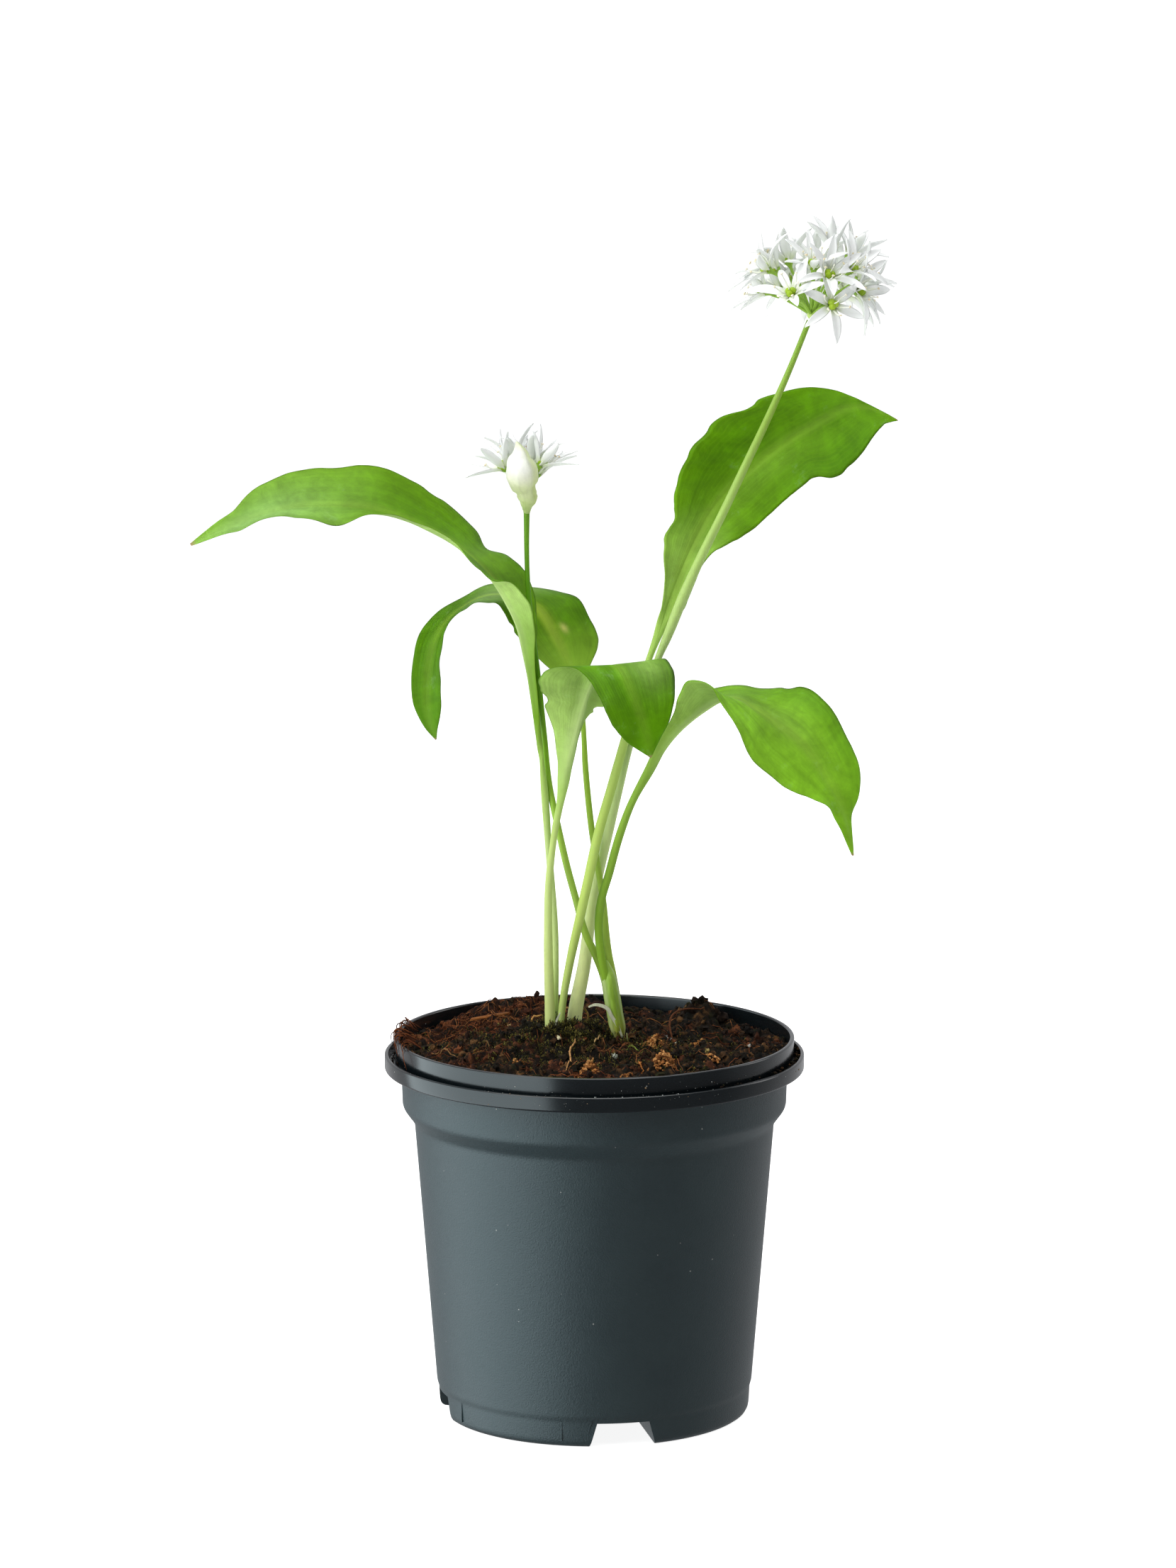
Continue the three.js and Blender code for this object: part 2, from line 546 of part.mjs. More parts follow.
function flowerSkin(root, open) {
  const points = [];
  const triangles = [];
  const step = (2 * Math.PI) / TEPALS;
  const half = TEPAL_THICKNESS / 2;

  function add(out, across, up, turn) {
    const place = new THREE.Vector3(out, across, up);
    points.push(place.applyAxisAngle(new THREE.Vector3(0, 0, 1), turn));
    return points.length - 1;
  }
  function ring(radius, height) {
    return Array.from({ length: TEPALS }, (_, i) => add(radius, 0, height, i * step));
  }
  function quad(a, b, c, d) {
    triangles.push(a, b, c, a, c, d);
  }
  function band(low, high) {
    for (let i = 0; i < TEPALS; i += 1) {
      const next = (i + 1) % TEPALS;
      quad(low[i], low[next], high[next], high[i]);
    }
  }

  const neck = ring(PEDICEL_RADIUS, -CUP_RADIUS);
  const foot = ring(PEDICEL_RADIUS, 0);
  foot.forEach((i) => points[i].add(root));
  const under = ring(CUP_RADIUS, -half);
  const over = ring(CUP_RADIUS, half);
  const ovary = ring(OVARY_RADIUS, 0.7 * OVARY_HEIGHT);
  const crown = add(0, 0, OVARY_HEIGHT, 0);
  band(foot, neck);
  band(neck, under);
  band(over, ovary);
  for (let i = 0; i < TEPALS; i += 1) {
    const next = (i + 1) % TEPALS;
    triangles.push(ovary[i], ovary[next], crown);
    if (i > 0 && next > 0) {
      triangles.push(foot[0], foot[next], foot[i]);
    }

    const lean = THREE.MathUtils.degToRad(open + (i % 2 ? 6 : -6));
    const turn = (i + 0.5) * step;
    const tilt = lean + TEPAL_CURL * TEPAL_WIDEST;
    const out = TEPAL_ROOT + TEPAL_LENGTH * TEPAL_WIDEST * Math.sin(tilt);
    const up = TEPAL_LENGTH * TEPAL_WIDEST * Math.cos(tilt);
    const [inward, above] = [-half * Math.cos(tilt), half * Math.sin(tilt)];
    const overRight = add(out + inward, -TEPAL_WIDTH / 2, up + above, turn);
    const overLeft = add(out + inward, TEPAL_WIDTH / 2, up + above, turn);
    const underRight = add(out - inward, -TEPAL_WIDTH / 2, up - above, turn);
    const underLeft = add(out - inward, TEPAL_WIDTH / 2, up - above, turn);
    const last = lean + TEPAL_CURL;
    const tip = add(TEPAL_ROOT + TEPAL_LENGTH * Math.sin(last), 0, TEPAL_LENGTH * Math.cos(last), turn);
    quad(over[i], overRight, overLeft, over[next]);
    quad(under[i], under[next], underLeft, underRight);
    quad(over[i], under[i], underRight, overRight);
    quad(over[next], overLeft, underLeft, under[next]);
    triangles.push(overRight, tip, overLeft);
    triangles.push(underRight, underLeft, tip);
    triangles.push(overRight, underRight, tip);
    triangles.push(overLeft, tip, underLeft);
  }
  return outwardMesh(points, triangles);
}

function direction([azimuth, rise]) {
  const turn = THREE.MathUtils.degToRad(azimuth);
  const lift = THREE.MathUtils.degToRad(rise);
  const level = Math.cos(lift);
  return new THREE.Vector3(level * Math.cos(turn), level * Math.sin(turn), Math.sin(lift));
}

function makeFlower(hub, { stalk, reach, face, spin, open }) {
  const up = new THREE.Vector3(0, 0, 1);
  const aim = new THREE.Quaternion().setFromUnitVectors(up, direction(face));
  aim.multiply(new THREE.Quaternion().setFromAxisAngle(up, THREE.MathUtils.degToRad(spin)));
  const away = direction(stalk).multiplyScalar(reach);
  const root = away.clone().negate().applyQuaternion(aim.clone().invert());
  const move = new THREE.Matrix4().compose(away.add(hub), aim, new THREE.Vector3(1, 1, 1));
  return solidOf(flowerSkin(root, open).applyMatrix4(move));
}

// The flowers: which way the stalk leaves the hub and how far, where the flower faces, how it is
// turned, and how far its tepals open from its axis. A direction is an azimuth, 0 to the right and
// -90 to the front, and a rise above level, in degrees.
const tallHub = new THREE.Vector3(61, 0, 316.6);
const tallFlowers = [
  { stalk: [-70, 16], reach: 15.5, face: [-70, 18], spin: 24, open: 76 },
  { stalk: [-114, 26], reach: 16.4, face: [-118, 44], spin: 11, open: 62 },
  { stalk: [-147, 37], reach: 15.9, face: [-160, 30], spin: 48, open: 58 },
  { stalk: [168, 51], reach: 16.1, face: [175, 42], spin: 6, open: 38 },
  { stalk: [134, 57], reach: 16.7, face: [130, 60], spin: 8, open: 34 },
  { stalk: [-90, 61], reach: 16.3, face: [-90, 62], spin: 8, open: 40 },
  { stalk: [-69, 45], reach: 16.8, face: [-69, 45], spin: 6, open: 46 },
  { stalk: [10, 72], reach: 18.3, face: [100, 85], spin: 1, open: 14 },
  { stalk: [11, 57], reach: 19.2, face: [10, 52], spin: 56, open: 30 },
  { stalk: [-4, 38], reach: 16.5, face: [-5, 35], spin: 51, open: 34 },
  { stalk: [-29, 27], reach: 16, face: [-25, 14], spin: 26, open: 52 },
  { stalk: [17, 18], reach: 14.3, face: [15, 18], spin: 10, open: 50 },
  { stalk: [-37, 45], reach: 18.8, face: [-37, 42], spin: 34, open: 40 },
  { stalk: [59, 30], reach: 17.4, face: [59, 30], spin: 34, open: 52 },
  { stalk: [84, 48], reach: 16.6, face: [84, 50], spin: 59, open: 40 },
  { stalk: [114, 32], reach: 15.5, face: [114, 36], spin: 28, open: 50 },
  { stalk: [56, 14], reach: 17.4, face: [56, 26], spin: 49, open: 58 },
  { stalk: [91, 20], reach: 16, face: [91, 28], spin: 7, open: 56 },
  { stalk: [134, 25], reach: 14, face: [138, 28], spin: 23, open: 54 },
];
const smallHub = new THREE.Vector3(-19.2, -1.2, 262);
const smallFlowers = [
  { stalk: [159, 53], reach: 13.8, face: [172, 42], spin: 4, open: 54 },
  { stalk: [116, 58], reach: 14.7, face: [120, 66], spin: 58, open: 34 },
  { stalk: [83, 57], reach: 14.7, face: [70, 70], spin: 0, open: 32 },
  { stalk: [41, 62], reach: 13, face: [20, 60], spin: 56, open: 44 },
  { stalk: [109, 35], reach: 15.6, face: [120, 55], spin: 53, open: 46 },
  { stalk: [74, 37], reach: 15.6, face: [52, 56], spin: 23, open: 46 },
];

function makeHead(name, hub, hubSolid, flowers) {
  const head = flowers.reduce((whole, flower) => whole.add(makeFlower(hub, flower)), hubSolid);
  return subPart(name, geometryOf(head), 0xf1f3ee, 0.5);
}

function tallHubSolid() {
  const knob = new THREE.SphereGeometry(TALL_HUB_RADIUS, 8, 6);
  knob.rotateX(Math.PI / 2);
  knob.translate(tallHub.x, tallHub.y, tallHub.z);
  return solidOf(knob);
}

// The small head stands behind its spathe: half a short post, flat towards the front
const postPlace = new THREE.Vector3(-19.2, -2.6, 262.3);

function smallHubSolid() {
  const post = new THREE.CylinderGeometry(POST_RADIUS, POST_FOOT_RADIUS, POST_HEIGHT, 12);
  post.rotateX(Math.PI / 2);
  post.translate(postPlace.x, postPlace.y, postPlace.z);
  const room = 2 * POST_HEIGHT;
  const front = new THREE.BoxGeometry(room, room, room);
  front.translate(postPlace.x, postPlace.y - room / 2, postPlace.z);
  return solidOf(post).subtract(solidOf(front));
}

// The spathe: a plump papery hood over the unopened buds, with a pointed tip
const spathePath = [
  [-19.1, -3.4, 260.2, 1],
  [-19.1, -3.6, 261.4, 1.2],
  [-18.9, -4.2, 263.4, 1.9],
  [-18.9, -4.8, 266, 2.6],
  [-19.8, -5.6, 268.5, 3.3],
  [-20.1, -6.4, 271.9, 4.4],
  [-20.5, -6.4, 275.6, 3.3],
  [-21.3, -5.8, 278.3, 1.8],
  [-22, -5.2, 281.5, 0.3],
];

function makeSpathe() {
  const hood = solidOf(taperedStem(spathePath, 1, 14));
  const room = 2 * POST_HEIGHT;
  const behind = new THREE.BoxGeometry(room, room, POST_HEIGHT + 4 * FIT_GAP);
  behind.translate(postPlace.x, postPlace.y + room / 2 - FIT_GAP, postPlace.z);
  return subPart("spathe_small", geometryOf(hood.subtract(solidOf(behind))), 0xdfe5c8, 0.5);
}

// The peat: fills the pot, heaped round the stems, with a plain hole for each stem.
// A lump is a place, its height and its spread.
const lumps = [
  [-10, -6, 9, 14],
  [7, -13, 1.4, 5],
  [-22, 44, 3.4, 13],
  [19, -43, 1.8, 5],
  [18, -14, 1.2, 4],
  [-1, -46, 1.4, 5],
  [31, 38, 7.5, 4],
  [-35, -20, 1.5, 9],
  [30, -18, 1.8, 8],
];

function soilHeight(x, y) {
  const slope = SOIL_FALL * THREE.MathUtils.clamp(-y / 40, -0.6, 1);
  const crumb = 0.7 * Math.sin(0.52 * x + 1) * Math.sin(0.61 * y) + 0.4 * Math.sin(1.13 * x - y);
  const heaps = lumps.reduce((sum, [cx, cy, high, spread]) => {
    const away = ((x - cx) ** 2 + (y - cy) ** 2) / (2 * spread ** 2);
    return sum + high * Math.exp(-away);
  }, 0);
  return SOIL_LEVEL + slope + crumb + heaps;
}

function stemHole(stalk) {
  const foot = [...stalk[0]];
  foot[2] -= SOIL_GAP;
  const path = [foot, stalk[1], stalk[2]].map(([x, y, z, radius]) => [x, y, z, radius + SOIL_GAP]);
  return solidOf(taperedStem(path, 2, 12));
}

function makeSoil() {
  const { inside } = potProfile();
  const wall = inside.slice(1).reverse().map(([radius, height]) => [
    Math.max(0, radius - SOIL_GAP),
    height + SOIL_GAP,
  ]);
  const edge = wall.at(-1)[0];
  const rings = [0.985, 0.87, 0.75, 0.62, 0.5, 0.38, 0.26, 0.13, 0];
  const surface = rings.map((share) => [edge * share, SOIL_LEVEL]);
  const body = turned([...wall.slice(0, -1), ...surface], SOIL_SEGMENTS);
  const position = body.attributes.position;
  for (let i = 0; i < position.count; i += 1) {
    if (position.getZ(i) > SOIL_LEVEL - 0.01) {
      position.setZ(i, soilHeight(position.getX(i), position.getY(i)));
    }
  }
  const stalks = [...Object.values(leaves).map(({ stalk }) => stalk), tallScape, smallScape];
  const clear = POT_WALL + SOIL_GAP;
  const roofs = channelBlocks(clear, clear, CHANNEL_INNER_END - clear, COLLAR_RADIUS);
  const soil = stalks.map(stemHole).reduce((whole, hole) => whole.subtract(hole), solidOf(body));
  return subPart("soil", geometryOf(soil.subtract(roofs)), 0x2b1d14, 0.95);
}

// The whole plant in its pot
const group = new THREE.Group();
group.add(makePot());
group.add(makeSoil());
for (const [name, { stalk, blade }] of Object.entries(leaves)) {
  group.add(makeLeaf(name, stalk, blade));
}
group.add(subPart("scape_tall", taperedStem(tallScape, 1, 8), 0x86b33f, 0.5));
group.add(subPart("scape_small", taperedStem(smallScape, 1, 8), 0x6b9d2c, 0.5));
group.add(makeHead("umbel_tall", tallHub, tallHubSolid(), tallFlowers));
group.add(makeHead("umbel_small", smallHub, smallHubSolid(), smallFlowers));
group.add(makeSpathe());

export default group;
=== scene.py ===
"""Potted wild garlic: the looks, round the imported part. The scene is in metres, the sizes in millimetres."""
import math
import random

import bpy
import numpy as np
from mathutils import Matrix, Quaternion, Vector, noise


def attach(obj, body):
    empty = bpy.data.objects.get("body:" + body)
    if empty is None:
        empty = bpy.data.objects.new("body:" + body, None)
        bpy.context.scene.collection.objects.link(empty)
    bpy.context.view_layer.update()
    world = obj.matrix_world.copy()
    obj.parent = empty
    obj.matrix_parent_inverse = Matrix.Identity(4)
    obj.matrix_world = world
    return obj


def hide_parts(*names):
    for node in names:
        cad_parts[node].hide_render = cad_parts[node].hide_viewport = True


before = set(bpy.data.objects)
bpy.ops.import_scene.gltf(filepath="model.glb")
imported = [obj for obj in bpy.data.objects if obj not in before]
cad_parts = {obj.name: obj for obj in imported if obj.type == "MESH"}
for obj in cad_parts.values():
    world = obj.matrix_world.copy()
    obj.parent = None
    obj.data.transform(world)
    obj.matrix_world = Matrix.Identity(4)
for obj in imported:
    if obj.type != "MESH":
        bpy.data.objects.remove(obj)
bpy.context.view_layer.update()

# The studio: a white table under broad soft light, the main lamp a softbox at the left, a weaker one at the
# right, as herbs are photographed for a shop. The camera stands two metres off, with a long lens.
MM = 0.001
IMAGE_WIDTH = 1659
FOCAL_PIXELS = 10026
SENSOR_WIDTH = 36
CAMERA_PLACE = (0, -1986.8 * MM, 542.9 * MM)
CAMERA_DOWN = math.radians(10.276)
CAMERA_TURN = math.radians(0.0526)
CAMERA_REACH = 50
TABLE_RADIUS = 1300
TABLE_SIDES = 64
TABLE_DROP = 0.05
TABLE_WHITE = "#c4c4c3"
TABLE_GLOW = 0.9
WALL_LIGHT = (0.12, 0.62)
PAPER_LIGHT = 1.1
PLANT_MIDDLE = (0, 0, 0.16)


def linear(hex_color):
    """The linear colour, with alpha 1, of an sRGB hex value."""
    values = [int(hex_color[i:i + 2], 16) / 255 for i in (1, 3, 5)]
    return tuple(v / 12.92 if v <= 0.04045 else ((v + 0.055) / 1.055) ** 2.4 for v in values) + (1.0,)


def node(tree, kind, sockets=None, links=None, **settings):
    """Adds a shader node with its settings, its sockets' own values and the links into it. A link comes from
    a socket, or from a node's first output."""
    new = tree.nodes.new("ShaderNode" + kind)
    for name, value in settings.items():
        setattr(new, name, value)
    for name, value in (sockets or {}).items():
        new.inputs[name].default_value = value
    for name, source in (links or {}).items():
        start = source.outputs[0] if isinstance(source, bpy.types.Node) else source
        tree.links.new(start, new.inputs[name])
    return new


def empty_material(name):
    """A material with no nodes yet, and its tree."""
    material = bpy.data.materials.new(name)
    material.use_nodes = True
    material.node_tree.nodes.clear()
    return material, material.node_tree


def mesh_piece(name, points, faces, material):
    """A smooth mesh object from points in millimetres."""
    mesh = bpy.data.meshes.new(name)
    mesh.from_pydata([tuple(c * MM for c in p) for p in points], [], faces)
    mesh.materials.append(material)
    mesh.polygons.foreach_set("use_smooth", [True] * len(mesh.polygons))
    mesh.update()
    piece = bpy.data.objects.new(name, mesh)
    bpy.context.scene.collection.objects.link(piece)
    return piece


def circle(radius, height, sides, turn=0):
    """A level ring of points round the upright axis."""
    turns = 2 * math.pi * (np.arange(sides) + turn) / sides
    return np.stack([radius * np.cos(turns), radius * np.sin(turns), np.full(sides, height)], axis=1)


def white_laminate():
    """White laminate, wiped clean: it sends back the light of the softboxes evenly, and a glow of its own
    keeps it as white as the paper behind it."""
    material, tree = empty_material("white_laminate")
    shader = node(tree, "BsdfPrincipled", {
        "Base Color": linear(TABLE_WHITE),
        "Roughness": 0.6,
        "Specular IOR Level": 0.2,
        "Emission Color": linear("#ffffff"),
        "Emission Strength": TABLE_GLOW,
    })
    node(tree, "OutputMaterial", links={"Surface": shader})
    return material


table = mesh_piece("table", circle(TABLE_RADIUS, -TABLE_DROP, TABLE_SIDES), [tuple(range(TABLE_SIDES))],
                   white_laminate())
table.visible_glossy = False

scene = bpy.context.scene
scene.view_settings.view_transform = "Standard"
scene.view_settings.look = "None"
scene.world = bpy.data.worlds.new("studio_walls")
scene.world.use_nodes = True
sky = scene.world.node_tree
sky.nodes.clear()
toward = node(sky, "SeparateXYZ", links={0: node(sky, "TexCoord").outputs["Generated"]})
fall_off = node(sky, "MapRange",
                {"From Min": -0.2, "From Max": 0.9, "To Min": WALL_LIGHT[0], "To Max": WALL_LIGHT[1]},
                {"Value": toward.outputs["Y"]})
room = node(sky, "Background", {"Color": linear("#fbfcff")}, {"Strength": fall_off})
paper = node(sky, "Background", {"Color": linear("#ffffff"), "Strength": PAPER_LIGHT})
seen = node(sky, "LightPath").outputs["Is Camera Ray"]
node(sky, "OutputWorld", links={"Surface": node(sky, "MixShader", links={0: seen, 1: room, 2: paper})})


def softbox(name, place, width, height, power, aim=PLANT_MIDDLE, in_gloss=True, only_gloss=False,
            tint="#ffffff"):
    """A rectangular soft light, aimed at the plant; a reflector shows only in what is glossy."""
    lamp = bpy.data.lights.new(name, "AREA")
    lamp.shape = "RECTANGLE"
    lamp.size = width
    lamp.size_y = height
    lamp.energy = power
    lamp.color = linear(tint)[:3]
    holder = bpy.data.objects.new(name, lamp)
    holder.location = place
    holder.rotation_euler = (Vector(aim) - Vector(place)).to_track_quat("-Z", "Y").to_euler()
    holder.visible_glossy = in_gloss
    holder.visible_diffuse = not only_gloss
    holder.visible_transmission = not only_gloss
    holder.visible_camera = False
    scene.collection.objects.link(holder)


softbox("softbox_left", (-1.4, -0.7, 0.9), 1.1, 1.3, 24, in_gloss=False)
softbox("softbox_right", (1.4, 0.4, 0.7), 0.5, 1.2, 3.5)
softbox("softbox_over", (-0.1, -0.45, 1.9), 2.4, 2.2, 44)
softbox("reflector_left", (-0.95, -0.28, 0.05), 2.2, 1.7, 27, aim=(0, 0.04, 0.05), only_gloss=True,
        tint="#e8faff")

lens = bpy.data.cameras.new("camera")
lens.sensor_fit = "HORIZONTAL"
lens.sensor_width = SENSOR_WIDTH
lens.lens = FOCAL_PIXELS * SENSOR_WIDTH / IMAGE_WIDTH
lens.clip_end = CAMERA_REACH
camera = bpy.data.objects.new("camera", lens)
camera.location = CAMERA_PLACE
camera.rotation_euler = (math.radians(90) - CAMERA_DOWN, 0, CAMERA_TURN)
scene.collection.objects.link(camera)
scene.camera = camera

# The pot: a nursery pot moulded in one shot from polypropylene, blue-black with recycled carbon. The mould
# leaves the wall with a fine spark-eroded grain, and the double rim polished.
POT_HEIGHT = 109.75
COLLAR_RADIUS = 60
COLLAR_TOP = 104.9
COLLAR_FOOT = 100.5
COLLAR_WALL = 1.1
LIP_RADIUS = 57.2
LIP_TAPER = 0.5
SHOULDER_RADIUS = 55.2
SHOULDER_FOOT = 85.2
SHOULDER_SETBACK = 3.7
BASE_RADIUS = 44.8
FLOOR_RADIUS = 40
POT_WALL = 1.3
POT_FLOOR = 1.5
POT_SIDES = 180
POT_SHARP_ANGLE = 32
CHANNEL_AZIMUTHS = [-79.3 + 90 * i for i in range(4)]
CHANNEL_HALF_WIDTH = 9.75
CHANNEL_TOP_HALF_WIDTH = 7.5
CHANNEL_HEIGHT = 7.2
CHANNEL_INNER_END = 14
DRAIN_RADIUS = 4
DRAIN_PLACE = 33
DRAIN_CUT = (5, 12)
DRAIN_SIDES = 32
WEB_AZIMUTHS = [-99.5, 20.5, 140.5]
WEB_HALF_WIDTH = 3
MOULD_MARK_AZIMUTHS = [-147.7, -102.1]
MOULD_MARK_HALF_WIDTH = 0.25
MOULD_MARK_PROUD = 0.12
MOULD_MARK_FOOT = 2
MOULD_MARK_TOP = 7.6
GRAIN_SIZE = 0.5
SMUDGE_SIZE = 16.67
SPECK_SPACING = 3.03
POT_OUTSIDE = [
    (FLOOR_RADIUS, 0, 0),
    (BASE_RADIUS - 0.4, 0, 2.6),
    (BASE_RADIUS, 7.6, 0.8),
    (BASE_RADIUS + 0.5, 9, 0.8),
    (SHOULDER_RADIUS - SHOULDER_SETBACK, SHOULDER_FOOT, 1.2),
    (SHOULDER_RADIUS - 0.3, SHOULDER_FOOT + 4.6, 1.2),
    (SHOULDER_RADIUS, COLLAR_FOOT, 0.2),
    (COLLAR_RADIUS, COLLAR_FOOT, 0.7),
    (COLLAR_RADIUS, COLLAR_TOP, 0.6),
    (COLLAR_RADIUS - COLLAR_WALL, COLLAR_TOP, 0.3),
    (COLLAR_RADIUS - COLLAR_WALL, COLLAR_FOOT + POT_WALL, 0.4),
    (LIP_RADIUS - LIP_TAPER, COLLAR_FOOT + POT_WALL, 0.4),
    (LIP_RADIUS, POT_HEIGHT, 0.55),
]
POT_INSIDE = [
    (LIP_RADIUS - POT_WALL, POT_HEIGHT, 0.5),
    (LIP_RADIUS - LIP_TAPER - POT_WALL, COLLAR_FOOT + 1, 0.4),
    (SHOULDER_RADIUS - POT_WALL, COLLAR_FOOT - 1, 0.4),
    (SHOULDER_RADIUS - 0.3 - POT_WALL, SHOULDER_FOOT + 5, 1),
    (SHOULDER_RADIUS - SHOULDER_SETBACK - POT_WALL, SHOULDER_FOOT + 0.4, 1),
    (BASE_RADIUS + 0.4 - POT_WALL, 8, 0),
    (BASE_RADIUS - 0.9 - POT_WALL, POT_FLOOR, 0.5),
    (FLOOR_RADIUS, POT_FLOOR, 0),
]


def rounded_outline(corners):
    """An outline of (radius, height) points, each corner of (radius, height, rounding) as a short arc."""
    outline = []
    for i, (r, z, rounding) in enumerate(corners):
        here = Vector((r, z))
        if rounding == 0:
            outline.append(tuple(here))
            continue
        before = Vector(corners[i - 1][:2]) - here
        after = Vector(corners[(i + 1) % len(corners)][:2]) - here
        start = here + before.normalized() * min(rounding, before.length / 2)
        end = here + after.normalized() * min(rounding, after.length / 2)
        for t in (0, 0.25, 0.5, 0.75, 1):
            outline.append(tuple((1 - t) ** 2 * start + 2 * t * (1 - t) * here + t * t * end))
    return outline


def skin(rings):
    """Points and faces of a closed skin over rings that all have as many points, its faces pointing out."""
    count = len(rings[0])
    points = np.array([p for ring in rings for p in ring], float)
    end = len(points) - count
    faces = [tuple(reversed(range(count))), tuple(range(end, end + count))]
    for low in range(0, end, count):
        for k in range(count):
            n = (k + 1) % count
            faces.append((low + k, low + n, low + count + n, low + count + k))
    quads = np.array(faces[2:])
    a, b, c, d = (points[quads[:, i]] - points[0] for i in range(4))
    if np.sum(np.cross(a, b) * c) + np.sum(np.cross(a, c) * d) < 0:
        faces = [tuple(reversed(face)) for face in faces]
    return points.tolist(), faces


def turned_piece(name, outline, sides, material):
    """A closed solid turned round the upright axis, from an outline of (radius, height) points."""
    return mesh_piece(name, *skin([circle(r, z, sides) for r, z in outline]), material)


def prism(name, outline, start, end, azimuth):
    """A block of an upright outline of (across, height), run from start to end outwards at an azimuth."""
    turn = math.radians(azimuth)
    out = Vector((math.cos(turn), math.sin(turn), 0))
    left = Vector((-math.sin(turn), math.cos(turn), 0))
    points = []
    for reach in (start, end):
        points += [out * reach + left * across + Vector((0, 0, height)) for across, height in outline]
    count = len(outline)
    faces = [tuple(reversed(range(count))), tuple(range(count, 2 * count))]
    for i in range(count):
        n = (i + 1) % count
        faces.append((i, n, count + n, count + i))
    return mesh_piece(name, points, faces, None)


def upright_slab(name, half_width, foot, top, start, end, azimuth):
    """A plain block, as wide at its top as at its foot."""
    outline = [(half_width, foot), (half_width, top), (-half_width, top), (-half_width, foot)]
    return prism(name, outline, start, end, azimuth)


def channel_block(azimuth, spread, start, end):
    """A drainage channel's own shape, narrower at its roof, or that shape spread out by a wall."""
    half = CHANNEL_HALF_WIDTH + spread
    top = CHANNEL_TOP_HALF_WIDTH + spread
    high = CHANNEL_HEIGHT + spread
    return prism("channel", [(half, -1), (top, high), (-top, high), (-half, -1)], start, end, azimuth)


def combine(piece, tools, operation):
    """Joins the tools to the piece, cuts them out of it or keeps what they share, and removes them."""
    for tool in tools:
        modifier = piece.modifiers.new("cut", "BOOLEAN")
        modifier.operation = operation
        modifier.solver = "EXACT"
        modifier.object = tool
    depsgraph = bpy.context.evaluated_depsgraph_get()
    mesh = bpy.data.meshes.new_from_object(piece.evaluated_get(depsgraph))
    piece.modifiers.clear()
    old = piece.data
    piece.data = mesh
    bpy.data.meshes.remove(old)
    for tool in tools:
        bpy.data.objects.remove(tool)
    return piece


def grained_polypropylene():
    """Moulded polypropylene: a soft blue-black sheen, grainy on the wall, wet-looking on the polished rim.
    The grain, and the specks of dust that lie on it, are drawn coarse enough to show."""
    material, tree = empty_material("grained_polypropylene")
    place = node(tree, "TexCoord").outputs["Object"]
    height = node(tree, "SeparateXYZ", links={0: place}).outputs["Z"]
    rim = node(tree, "MapRange", {"From Min": (COLLAR_FOOT - 0.2) * MM, "From Max": (COLLAR_FOOT + 0.1) * MM},
               {"Value": height})
    smudge = node(tree, "TexNoise", {"Scale": 1 / (SMUDGE_SIZE * MM), "Detail": 4, "Roughness": 0.6},
                  {"Vector": place})
    rough_wall = node(tree, "MapRange", {"To Min": 0.4, "To Max": 0.5}, {"Value": smudge})
    rough_rim = node(tree, "MapRange", {"To Min": 0.13, "To Max": 0.26}, {"Value": smudge})
    roughness = node(tree, "Mix", links={0: rim, 2: rough_wall, 3: rough_rim})

    specks = node(tree, "TexVoronoi", {"Scale": 1 / (SPECK_SPACING * MM), "Randomness": 1}, {"Vector": place})
    speck = node(tree, "MapRange", {"From Min": 0.075, "From Max": 0.055},
                 {"Value": specks.outputs["Distance"]})
    chance = node(tree, "SeparateXYZ", links={0: specks.outputs["Color"]})
    spare = node(tree, "MapRange", {"To Min": 0.86, "To Max": 0.78}, {"Value": rim})
    rare = node(tree, "Math", links={0: chance, 1: spare}, operation="GREATER_THAN")
    dusty = node(tree, "Math", links={0: speck, 1: rare}, operation="MULTIPLY")

    wall = node(tree, "Mix", {6: linear("#15252a"), 7: linear("#1c2e31")}, {0: smudge}, data_type="RGBA")
    plastic = node(tree, "Mix", {7: linear("#0a1013")}, {0: rim, 6: wall.outputs[2]}, data_type="RGBA")
    color = node(tree, "Mix", {7: linear("#7d7f7c")}, {0: dusty, 6: plastic.outputs[2]}, data_type="RGBA")

    grain = node(tree, "TexNoise", {"Scale": 1 / (GRAIN_SIZE * MM), "Detail": 3, "Roughness": 0.65},
                 {"Vector": place})
    depth = node(tree, "MapRange", {"To Min": 0.8, "To Max": 0.03}, {"Value": rim})
    bump = node(tree, "Bump", {"Distance": 0.16 * MM}, {"Strength": depth, "Height": grain})
    shader = node(tree, "BsdfPrincipled", {"Specular IOR Level": 0.68},
                  {"Base Color": color.outputs[2], "Roughness": roughness, "Normal": bump})
    node(tree, "OutputMaterial", links={"Surface": shader})
    return material


